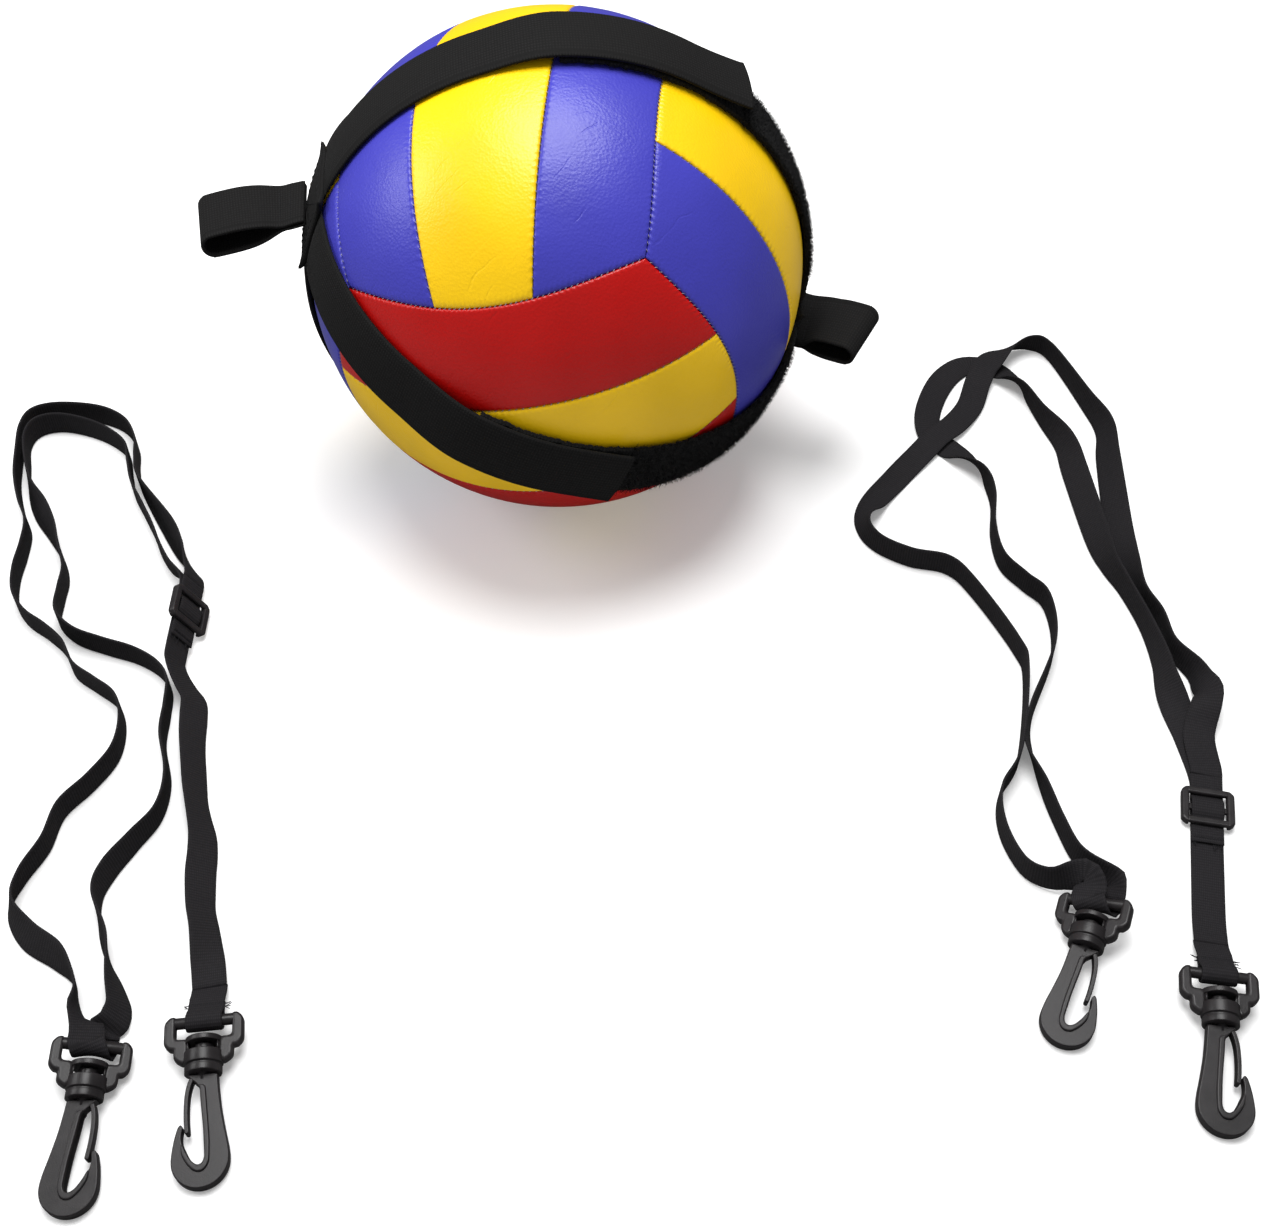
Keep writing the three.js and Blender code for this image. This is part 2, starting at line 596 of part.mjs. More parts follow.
// Eight points round the ribbon, with bevelled edges: shares of across and thick axes in millimetres.
function ribbonSection(width) {
  const a = width / 2;
  const b = a - ribbon_bevel;
  const t = ribbon_thickness / 2;
  const e = ribbon_edge_flat / 2;
  return [[a, e], [b, t], [-b, t], [-a, e], [-a, -e], [-b, -t], [b, -t], [a, -e]];
}

function ribbonGeometry(stations) {
  const section = ribbonSection(ribbon_width);
  const rings = stations.map(({ point, across }, i) => {
    const before = stations[Math.max(i - 1, 0)].point;
    const after = stations[Math.min(i + 1, stations.length - 1)].point;
    const tangent = new THREE.Vector3().subVectors(after, before).normalize();
    const side = across.clone().addScaledVector(tangent, -across.dot(tangent)).normalize();
    const up = new THREE.Vector3().crossVectors(tangent, side);
    return section.map(([a, t]) => point.clone().addScaledVector(side, a).addScaledVector(up, t));
  });
  return loftGeometry(rings);
}

function routeStations(route) {
  const points = route.map(([x, y, rollDeg, lift]) => {
    const rise = ribbon_width / 2 * Math.abs(Math.sin(rad(rollDeg)));
    const flat = ribbon_thickness / 2 * Math.abs(Math.cos(rad(rollDeg)));
    return new THREE.Vector3(x, y, floor_lift + rise + flat + lift);
  });
  return points.map((point, i) => {
    const before = points[Math.max(i - 1, 0)];
    const after = points[Math.min(i + 1, points.length - 1)];
    const heading = Math.atan2(after.y - before.y, after.x - before.x);
    const roll = rad(route[i][2]);
    const left = new THREE.Vector3(-Math.sin(heading), Math.cos(heading), 0);
    const across = left.multiplyScalar(Math.cos(roll)).addScaledVector(axisZ, Math.sin(roll));
    return { point, across };
  });
}

// A turn hook lies where the doubled stretch turns, an end hook where the single strand ends.
for (const side of ['left', 'right']) {
  const hook = hooks[`${side}_end`];
  const heading = rad(hook.heading_deg);
  const [x, y] = routes[`${side}_single`][0];
  const reach = sewn_length + fit_gap;
  hook.at = [x + reach * Math.cos(heading), y + reach * Math.sin(heading)];
}

// A station beside a ring's bar: x is ahead of the bar, z above it and share the way across its slant.
function barStation(hook, x, z, share) {
  const turn = new THREE.Euler(rad(hook.ring_roll_deg), rad(hook_tilt_deg), rad(hook.heading_deg), 'ZYX');
  const across = axisY.clone().applyEuler(turn);
  const ahead = new THREE.Vector3().crossVectors(across, axisZ).normalize();
  const up = new THREE.Vector3().crossVectors(ahead, across);
  const point = new THREE.Vector3(...hook.at, bar_height)
    .addScaledVector(ahead, x)
    .addScaledVector(up, z)
    .addScaledVector(across, (share - 0.5) * turn_slant);
  return { point, across };
}

// The turn round a ring's bar: over the top, down through the slot and back below.
const turn_leg = turn_leg_share * wrap_radius;
function turnStations(hook) {
  const list = [barStation(hook, -turn_leg, wrap_radius, 0)];
  const steps = 8;
  for (let i = 0; i <= steps; i += 1) {
    const angle = Math.PI * (0.5 - i / steps);
    list.push(barStation(hook, wrap_radius * Math.cos(angle), wrap_radius * Math.sin(angle), i / steps));
  }
  list.push(barStation(hook, -turn_leg, -wrap_radius, 1));
  return list;
}

for (const side of ['left', 'right']) {
  const hook = hooks[`${side}_turn`];
  addMesh(part, `${side}_single_strand`, ribbonGeometry(routeStations(routes[`${side}_single`])), webbingFinish());
  const led = [turn_lead, 0].map((back) => barStation(hook, -turn_leg - turn_end_gap - back, -wrap_radius, 1));
  const inner = [...routeStations(routes[`${side}_inner`]), ...led];
  addMesh(part, `${side}_inner_strand`, ribbonGeometry(inner), webbingFinish());
  const outer = [...routeStations(routes[`${side}_outer`]), ...turnStations(hook)];
  addMesh(part, `${side}_outer_strand`, ribbonGeometry(outer), webbingFinish());
}

// Swivel ring, in its own frame: x runs from the strap bar to the hook, z is up

function latheAlongX(profile, sides = round_sides) {
  const points = profile.map(([x, radius]) => new THREE.Vector2(radius, x));
  return new THREE.LatheGeometry(points, sides).rotateZ(-Math.PI / 2);
}

function ringSolid() {
  const bar = ring_bar_radius;
  const wide = ring_width / 2;
  const slot = ring_slot_width / 2;
  const corner = bar;
  const armEnd = arm_length - bar;
  const shoulder = shoulder_width / 2;
  const shoulderEnd = armEnd + shoulder_length;
  const taperEnd = shoulderEnd + shoulder_taper;
  const slotEnd = collar_start - bar;
  const right = [
    [slotEnd, slot], [-bar, slot], [-bar, wide - corner], [-bar + corner, wide], [armEnd - corner, wide],
    [armEnd, wide - corner], [armEnd, shoulder], [shoulderEnd, shoulder], [taperEnd, barrel_radius],
  ];
  const outline = [...right, ...right.slice().reverse().map(([x, y]) => [x, -y])];
  const plate = plateGeometry(outline, ring_plate_thickness);
  const crossBar = roundBar(bar, ring_slot_width + bar);
  const collarEnd = collar_start + collar_length;
  const barrelEnd = barrel_start + barrel_length;
  const profile = [
    [collar_start, 0], [collar_start, collar_radius], [collarEnd, collar_radius],
    [collarEnd, groove_radius], [barrel_start, groove_radius], [barrel_start, barrel_radius],
    [barrelEnd, barrel_radius], [barrelEnd, groove_radius], [barrelEnd + groove_length, groove_radius],
    [barrelEnd + groove_length, lip_radius], [ring_length, lip_radius], [ring_length, 0],
  ].map(([x, radius]) => [x - bar, radius]);
  const chamberLength = window_length;
  const chamberMiddle = collarEnd + window_length / 2 - bar;
  const chamber = roundBar(shank_head_radius + swivel_gap, chamberLength).rotateZ(Math.PI / 2);
  chamber.translate(chamberMiddle, 0, 0);
  const boreLength = ring_length - barrel_start + cut_overrun;
  const bore = roundBar(shank_radius + swivel_gap, boreLength).rotateZ(Math.PI / 2);
  bore.translate(barrel_start - bar + boreLength / 2, 0, 0);
  const window = boxAt([window_length, window_width, 4 * barrel_radius], [chamberMiddle, 0, 0]);
  return toSolid(plate)
    .add(toSolid(crossBar))
    .add(toSolid(latheAlongX(profile)))
    .subtract(toSolid(chamber))
    .subtract(toSolid(bore))
    .subtract(toSolid(window));
}

// Snap hook, in the ring's frame, with the gate on the +y side

const hook_start = ring_length - ring_bar_radius + swivel_gap;
const hook_end_radius = hook_width / 2;
const hook_round_centre = hook_start + hook_length - hook_end_radius;
const neck_half = neck_width / 2;

// Shares of the hook's length from its start, and of half its width.
const outer_back_shares = [[0.09, -0.56], [0.3, -0.66], [0.5, -0.82], [0.64, -0.95]];
const nose_shares = [[0.66, 0.97], [0.56, 0.9], [0.45, 0.76], [0.47, 0.68], [0.545, 0.74], [0.6, 0.66]];
const throat_shares = [
  [0.7, 0.44], [0.77, 0.25], [0.8, 0.08], [0.79, -0.08], [0.74, -0.16], [0.5, -0.1], [0.25, 0.02], [0.13, 0.06],
  [0.09, 0.16],
];
const rim_shares = [
  [0.69, 0.66], [0.79, 0.44], [0.86, 0.16], [0.86, -0.14], [0.79, -0.34], [0.6, -0.34], [0.25, -0.2],
  [0.1, -0.14],
];

function hookPoint([alongShare, acrossShare]) {
  return [hook_start + alongShare * hook_length, acrossShare * hook_end_radius];
}

function hookOutline() {
  const points = [[hook_start, neck_half], [hook_start, -neck_half], ...outer_back_shares.map(hookPoint)];
  const first = -0.52 * Math.PI;
  const last = 0.5 * Math.PI;
  const steps = 12;
  for (let i = 0; i <= steps; i += 1) {
    const angle = first + (last - first) * i / steps;
    points.push([
      hook_round_centre + hook_end_radius * Math.cos(angle),
      hook_end_radius * Math.sin(angle),
    ]);
  }
  points.push(...nose_shares.map(hookPoint), ...throat_shares.map(hookPoint));
  points.push([hook_start + neck_half / 2, neck_half / 2]);
  return points;
}

function hookSolid() {
  const head = collar_start + collar_length + (window_length - shank_head_length) / 2 - ring_bar_radius;
  const headEnd = head + shank_head_length;
  const shank = latheAlongX([
    [head, 0], [head, shank_head_radius], [headEnd, shank_head_radius], [headEnd, shank_radius],
    [hook_start + neck_half / 2, shank_radius], [hook_start + neck_half / 2, 0],
  ], small_round_sides);
  const plate = plateGeometry(hookOutline(), hook_plate_thickness);
  const rimInner = [nose_shares[nose_shares.length - 1], ...throat_shares].map(hookPoint);
  const rimOuter = rim_shares.map(hookPoint).reverse();
  const rim = plateGeometry([...rimInner, ...rimOuter], hook_rim_thickness);
  return toSolid(plate).add(toSolid(rim)).add(toSolid(shank));
}

// The gate is a thin tongue from the neck to the nose.
const gate_shares = [[0.075, 0.43], [0.14, 0.54], [0.25, 0.59], [0.4, 0.585], [0.53, 0.54]];

function gateGeometry() {
  const line = gate_shares.map(hookPoint);
  const outward = [];
  const inward = [];
  line.forEach(([x, y], i) => {
    const [x0, y0] = line[Math.max(i - 1, 0)];
    const [x1, y1] = line[Math.min(i + 1, line.length - 1)];
    const size = Math.hypot(x1 - x0, y1 - y0);
    const [nx, ny] = [-(y1 - y0) / size, (x1 - x0) / size];
    outward.push([x + nx * gate_thickness / 2, y + ny * gate_thickness / 2]);
    inward.push([x - nx * gate_thickness / 2, y - ny * gate_thickness / 2]);
  });
  return plateGeometry([...inward, ...outward.reverse()], gate_height);
}

for (const [hookName, hook] of Object.entries(hooks)) {
  const group = new THREE.Group();
  group.position.set(...hook.at, bar_height);
  group.rotation.set(0, 0, rad(hook.heading_deg));
  part.add(group);
  const tilted = new THREE.Group();
  tilted.rotation.y = rad(hook_tilt_deg);
  group.add(tilted);
  const ring = addMesh(tilted, `${hookName}_ring`, toGeometry(ringSolid()), plasticFinish());
  ring.rotation.x = rad(hook.ring_roll_deg);
  const flipped = hook.gate_side < 0;
  const hookMesh = addMesh(tilted, `${hookName}_hook`, toGeometry(hookSolid()), plasticFinish());
  const gateMesh = addMesh(tilted, `${hookName}_gate`, gateGeometry(), plasticFinish());
  if (flipped) {
    hookMesh.rotation.x = Math.PI;
    gateMesh.rotation.x = Math.PI;
  }
}

// A sewn end is the ribbon folded round the ring's bar and stitched to itself.
function sewnEndGeometry() {
  const half = sewn_thickness / 2;
  const eye = ring_bar_radius + fit_gap;
  const outline = [[-sewn_length, -half], [-1.7 * sewn_outer_radius, -half]];
  const steps = 10;
  for (let i = 0; i <= steps; i += 1) {
    const angle = 0.75 * Math.PI * (2 * i / steps - 1);
    outline.push([sewn_outer_radius * Math.cos(angle), sewn_outer_radius * Math.sin(angle)]);
  }
  outline.push([-1.7 * sewn_outer_radius, half], [-sewn_length, half]);
  const hole = [[-1.9 * eye, 0]];
  for (let i = 0; i <= steps; i += 1) {
    const angle = 0.7 * Math.PI * (2 * i / steps - 1);
    hole.push([eye * Math.cos(angle), eye * Math.sin(angle)]);
  }
  return strapLoopGeometry(outline, hole, sewn_width).rotateX(Math.PI / 2);
}

for (const side of ['left', 'right']) {
  const hook = hooks[`${side}_end`];
  const group = new THREE.Group();
  group.position.set(...hook.at, bar_height);
  group.rotation.set(0, 0, rad(hook.heading_deg));
  part.add(group);
  const mesh = addMesh(group, `${side}_sewn_end`, sewnEndGeometry(), webbingFinish());
  mesh.rotation.y = -rad(sewn_droop_deg);
}

// Sliders: x points along the rope to the sewn end, z is away from the through strand

const webbing_level = ribbon_thickness + fit_gap;
const slider_floor = ribbon_thickness / 2 + fit_gap;
const slider_top = slider_floor + slider_height;
const top_bar_floor = webbing_level + ribbon_thickness / 2 + fit_gap;
const low_bar_top = slider_top - ribbon_thickness - fit_gap - fit_gap;
const over_bar_level = low_bar_top + fit_gap + ribbon_thickness / 2;

function roundedRectangle(length, width, corner) {
  const points = [];
  const steps = 3;
  [[1, 1], [-1, 1], [-1, -1], [1, -1]].forEach(([sx, sy], k) => {
    for (let i = 0; i <= steps; i += 1) {
      const angle = Math.PI / 2 * (k + i / steps);
      points.push([
        sx * (length / 2 - corner) + corner * Math.cos(angle),
        sy * (width / 2 - corner) + corner * Math.sin(angle),
      ]);
    }
  });
  return points;
}

function sliderSolid() {
  const inside = slider_width - 2 * slider_rail;
  const window = (slider_length - 3 * slider_bar) / 2;
  const windowMiddle = slider_bar / 2 + window / 2;
  const middle = (slider_floor + slider_top) / 2;
  const frame = plateGeometry(roundedRectangle(slider_length, slider_width, slider_corner), slider_height);
  let solid = toSolid(frame.translate(0, 0, middle));
  for (const x of [-windowMiddle, windowMiddle]) {
    solid = solid.subtract(toSolid(boxAt([window, inside, 4 * slider_height], [x, 0, middle])));
  }
  const under = top_bar_floor - slider_floor + cut_overrun;
  const underBox = boxAt(
    [slider_length / 2, inside, under],
    [-slider_length / 2, 0, top_bar_floor - under / 2],
  );
  const over = slider_top - low_bar_top + cut_overrun;
  const overLength = slider_length / 2 + slider_bar / 2 + fit_gap + cut_overrun;
  const overBox = boxAt(
    [overLength, inside, over],
    [overLength / 2 - slider_bar / 2 - fit_gap, 0, low_bar_top + over / 2],
  );
  return solid.subtract(toSolid(underBox)).subtract(toSolid(overBox));
}

function sliderWebbingGeometry() {
  const bar = slider_bar / 2;
  const lowBar = slider_length / 2 - bar;
  const path = [
    [-webbing_reach, webbing_level], [-slider_length / 2, webbing_level],
    [-slider_length / 2 + slider_bar, webbing_level],
    [-bar - ribbon_thickness / 2, over_bar_level], [bar + ribbon_thickness / 2, over_bar_level],
    [lowBar - bar - ribbon_thickness / 2, over_bar_level], [lowBar + bar, over_bar_level],
    [lowBar + 2 * slider_bar, webbing_level], [webbing_reach, webbing_level],
  ];
  return ribbonGeometry(path.map(([x, z]) => ({ point: new THREE.Vector3(x, 0, z), across: axisY })));
}

for (const [side, slider] of Object.entries(sliders)) {
  const group = new THREE.Group();
  group.position.copy(routeStations(routes[`${side}_inner`])[0].point);
  group.rotation.set(0, 0, rad(slider.heading_deg));
  part.add(group);
  const rolled = new THREE.Group();
  rolled.rotation.x = rad(slider.roll_deg);
  group.add(rolled);
  addMesh(rolled, `${side}_slider`, toGeometry(sliderSolid()), plasticFinish());
  addMesh(rolled, `${side}_slider_webbing`, sliderWebbingGeometry(), webbingFinish());
}

export default part;
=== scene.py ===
# %% [markdown]
# # A volleyball in a spike-training harness
# The real thing is a sewn ball held in a web of hook-and-loop straps, with two elastic ropes beside it.
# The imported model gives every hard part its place. Here each piece gets the form and the finish that it
# shows in a photograph: sewn leather, woven straps, a fluffy strap, elastic ribbon and moulded hooks.

import json
import math

import bpy
import numpy as np
from mathutils import Matrix, Vector


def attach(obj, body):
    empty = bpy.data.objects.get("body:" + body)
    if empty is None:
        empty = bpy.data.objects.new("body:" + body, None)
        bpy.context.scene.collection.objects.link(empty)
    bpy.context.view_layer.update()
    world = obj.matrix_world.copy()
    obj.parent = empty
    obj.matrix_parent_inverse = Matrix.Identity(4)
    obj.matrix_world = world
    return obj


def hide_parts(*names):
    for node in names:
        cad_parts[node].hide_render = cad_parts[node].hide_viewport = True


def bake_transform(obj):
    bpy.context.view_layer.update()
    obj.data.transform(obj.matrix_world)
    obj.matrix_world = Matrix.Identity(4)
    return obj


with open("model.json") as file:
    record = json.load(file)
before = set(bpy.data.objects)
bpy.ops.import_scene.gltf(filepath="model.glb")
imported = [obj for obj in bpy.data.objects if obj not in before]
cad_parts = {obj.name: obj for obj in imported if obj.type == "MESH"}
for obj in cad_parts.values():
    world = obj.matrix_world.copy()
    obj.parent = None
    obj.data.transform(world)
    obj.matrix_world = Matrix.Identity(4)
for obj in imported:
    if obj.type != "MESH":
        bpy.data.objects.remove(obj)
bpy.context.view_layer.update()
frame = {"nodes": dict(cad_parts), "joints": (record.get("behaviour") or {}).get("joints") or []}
NODES = frame["nodes"]
JOINTS = {joint["name"]: joint for joint in frame["joints"]}
AXIS_X, AXIS_Y, AXIS_Z = Vector((1, 0, 0)), Vector((0, 1, 0)), Vector((0, 0, 1))
print("parts in the packed model:", len(NODES))

# %% [markdown]
# ## The camera
# A product shot is taken from a stand, so the camera looks down steeply with a normal lens. Its height
# and its lens come from matching the ball and the ropes of the photograph, and nothing is shifted.

# %% Camera
LOOK_DOWN = 50
camera_data = bpy.data.cameras.new("studio_camera")
camera_data.lens = 48.89
camera_data.sensor_width = 36
camera = bpy.data.objects.new("studio_camera", camera_data)
camera.location = (0.0322, -0.5910, 0.5771)
camera.rotation_euler = (math.radians(90 - LOOK_DOWN), 0, 0)
bpy.context.scene.collection.objects.link(camera)
bpy.context.scene.camera = camera
print("camera looks down", LOOK_DOWN, "degrees")

# %% [markdown]
# ## Helpers for pieces
# Most pieces here are rings of points with faces between them: a strap, a ribbon, a thread, a bar. So one
# function makes the faces for all of them. A piece then gets its finish and its body in one go.

# %% Pieces out of points and faces
def add_piece(name, points, faces, smooth=True):
    mesh = bpy.data.meshes.new(name)
    mesh.from_pydata([tuple(p) for p in points], [], faces)
    mesh.update()
    mesh.polygons.foreach_set("use_smooth", [smooth] * len(mesh.polygons))
    piece = bpy.data.objects.new(name, mesh)
    bpy.context.scene.collection.objects.link(piece)
    return piece


def tube_faces(rings, sides, closed=False):
    """Faces between rings of points, with a cap at each end, or none where the last ring meets the first."""
    faces = []
    for i in range(rings if closed else rings - 1):
        n = (i + 1) % rings
        for j in range(sides):
            k = (j + 1) % sides
            faces.append((i * sides + j, i * sides + k, n * sides + k, n * sides + j))
    if not closed:
        faces.append(tuple(range(sides - 1, -1, -1)))
        faces.append(tuple(range((rings - 1) * sides, rings * sides)))
    return faces


def joined(forms):
    """Many forms, each of points and faces, as one."""
    points, faces = [], []
    for new_points, new_faces in forms:
        faces += [tuple(len(points) + i for i in face) for face in new_faces]
        points += new_points
    return points, faces


def circle(middle, side, up, radius, count):
    turns = [2 * math.pi * k / count for k in range(count)]
    return [middle + (side * math.cos(a) + up * math.sin(a)) * radius for a in turns]


def ahead_at(line, i):
    """The way from the point before i to the one after it, or from i itself at an end."""
    return line[min(i + 1, len(line) - 1)] - line[max(i - 1, 0)]


def soft(t):
    """A share from 0 to 1 that starts and ends gently."""
    return t * t * (3 - 2 * t)


def dress(piece, material, slot, body, *nodes):
    """Finish a piece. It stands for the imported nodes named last, and rides on a body where one is given."""
    piece.data.materials.append(material)
    if nodes:
        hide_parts(*nodes)
    if body:
        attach(piece, body)
    return piece


# %% [markdown]
# ## A helper for everything woven
# A strap, a ribbon and a folded loop are all one flat section carried along a path. A sweep of rings
# makes that shape exactly, with clean ends, where a curve with a bevel would roll over by itself. Each
# ring also notes how far along the strap it lies, so that the weave can follow the cloth.

# %% Sweep a section along rings
def sweep(name, rings, around, along):
    """rings of equal length become one closed skin; around and along become its weave coordinates."""
    sides = len(rings[0])
    piece = add_piece(name, [p for ring in rings for p in ring], tube_faces(len(rings), sides))
    coordinates = []
    for here, there in zip(along, along[1:]):
        for u0, u1 in zip(around, around[1:]):
            coordinates += [(u0, here), (u1, here), (u1, there), (u0, there)]
    coordinates += [(around[j], along[0]) for j in range(sides - 1, -1, -1)]
    coordinates += [(around[j], along[-1]) for j in range(sides)]
    layer = piece.data.uv_layers.new(name="weave")
    layer.data.foreach_set("uv", np.array(coordinates, np.float32).ravel())
    return piece


def sweep_reversed(name, rings, around, along):
    """The same for rings whose points run the other way round."""
    return sweep(name, [ring[::-1] for ring in rings], [around[-1] - u for u in reversed(around)], along)


def flat_section(width, thickness, columns, edge_steps=3):
    """Points (across, up) of a strap's section with round edges, from the right edge over the top."""
    half, radius = width / 2, thickness / 2
    points = []
    for side in (1, -1):
        for i in range(edge_steps + 1):
            angle = -math.pi / 2 + math.pi * i / edge_steps
            if side < 0:
                angle += math.pi
            points.append((side * (half - radius) + radius * math.cos(angle), radius * math.sin(angle)))
        start = side * (half - radius)
        for i in range(1, columns):
            points.append((start * (1 - 2 * i / columns), side * radius))
    around = [0.0]
    for (a, b), (c, d) in zip(points, points[1:] + points[:1]):
        around.append(around[-1] + math.hypot(c - a, d - b))
    return points, around


def smooth_line(rows, step):
    """Rows of numbers, led by a place, resampled on a soft curve with about one row per step."""
    rows = np.array(rows, float)
    padded = np.vstack([2 * rows[0] - rows[1], rows, 2 * rows[-1] - rows[-2]])
    out = []
    for i in range(1, len(padded) - 2):
        a, b, c, d = padded[i - 1 : i + 3]
        slope, curve, twist = c - a, 2 * a - 5 * b + 4 * c - d, 3 * b - a - 3 * c + d
        count = max(1, round(float(np.linalg.norm(c[:2] - b[:2])) / step))
        for k in range(count):
            t = k / count
            out.append(0.5 * (2 * b + slope * t + curve * t**2 + twist * t**3))
    out.append(rows[-1])
    return np.array(out)


def lengths(points):
    gaps = [0.0] + [float((Vector(q) - Vector(p)).length) for p, q in zip(points, points[1:])]
    return list(np.cumsum(gaps))


# %% [markdown]
# ## Where the ropes lie
# Each rope is one flat elastic ribbon. A physics run would let it fall anywhere, so it follows points read
# from the photograph instead: a place on the floor, how far the ribbon is rolled on to its edge, and how
# far it is lifted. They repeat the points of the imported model, in metres, with a little more roll in places
# where the photograph shows the ribbon's face.

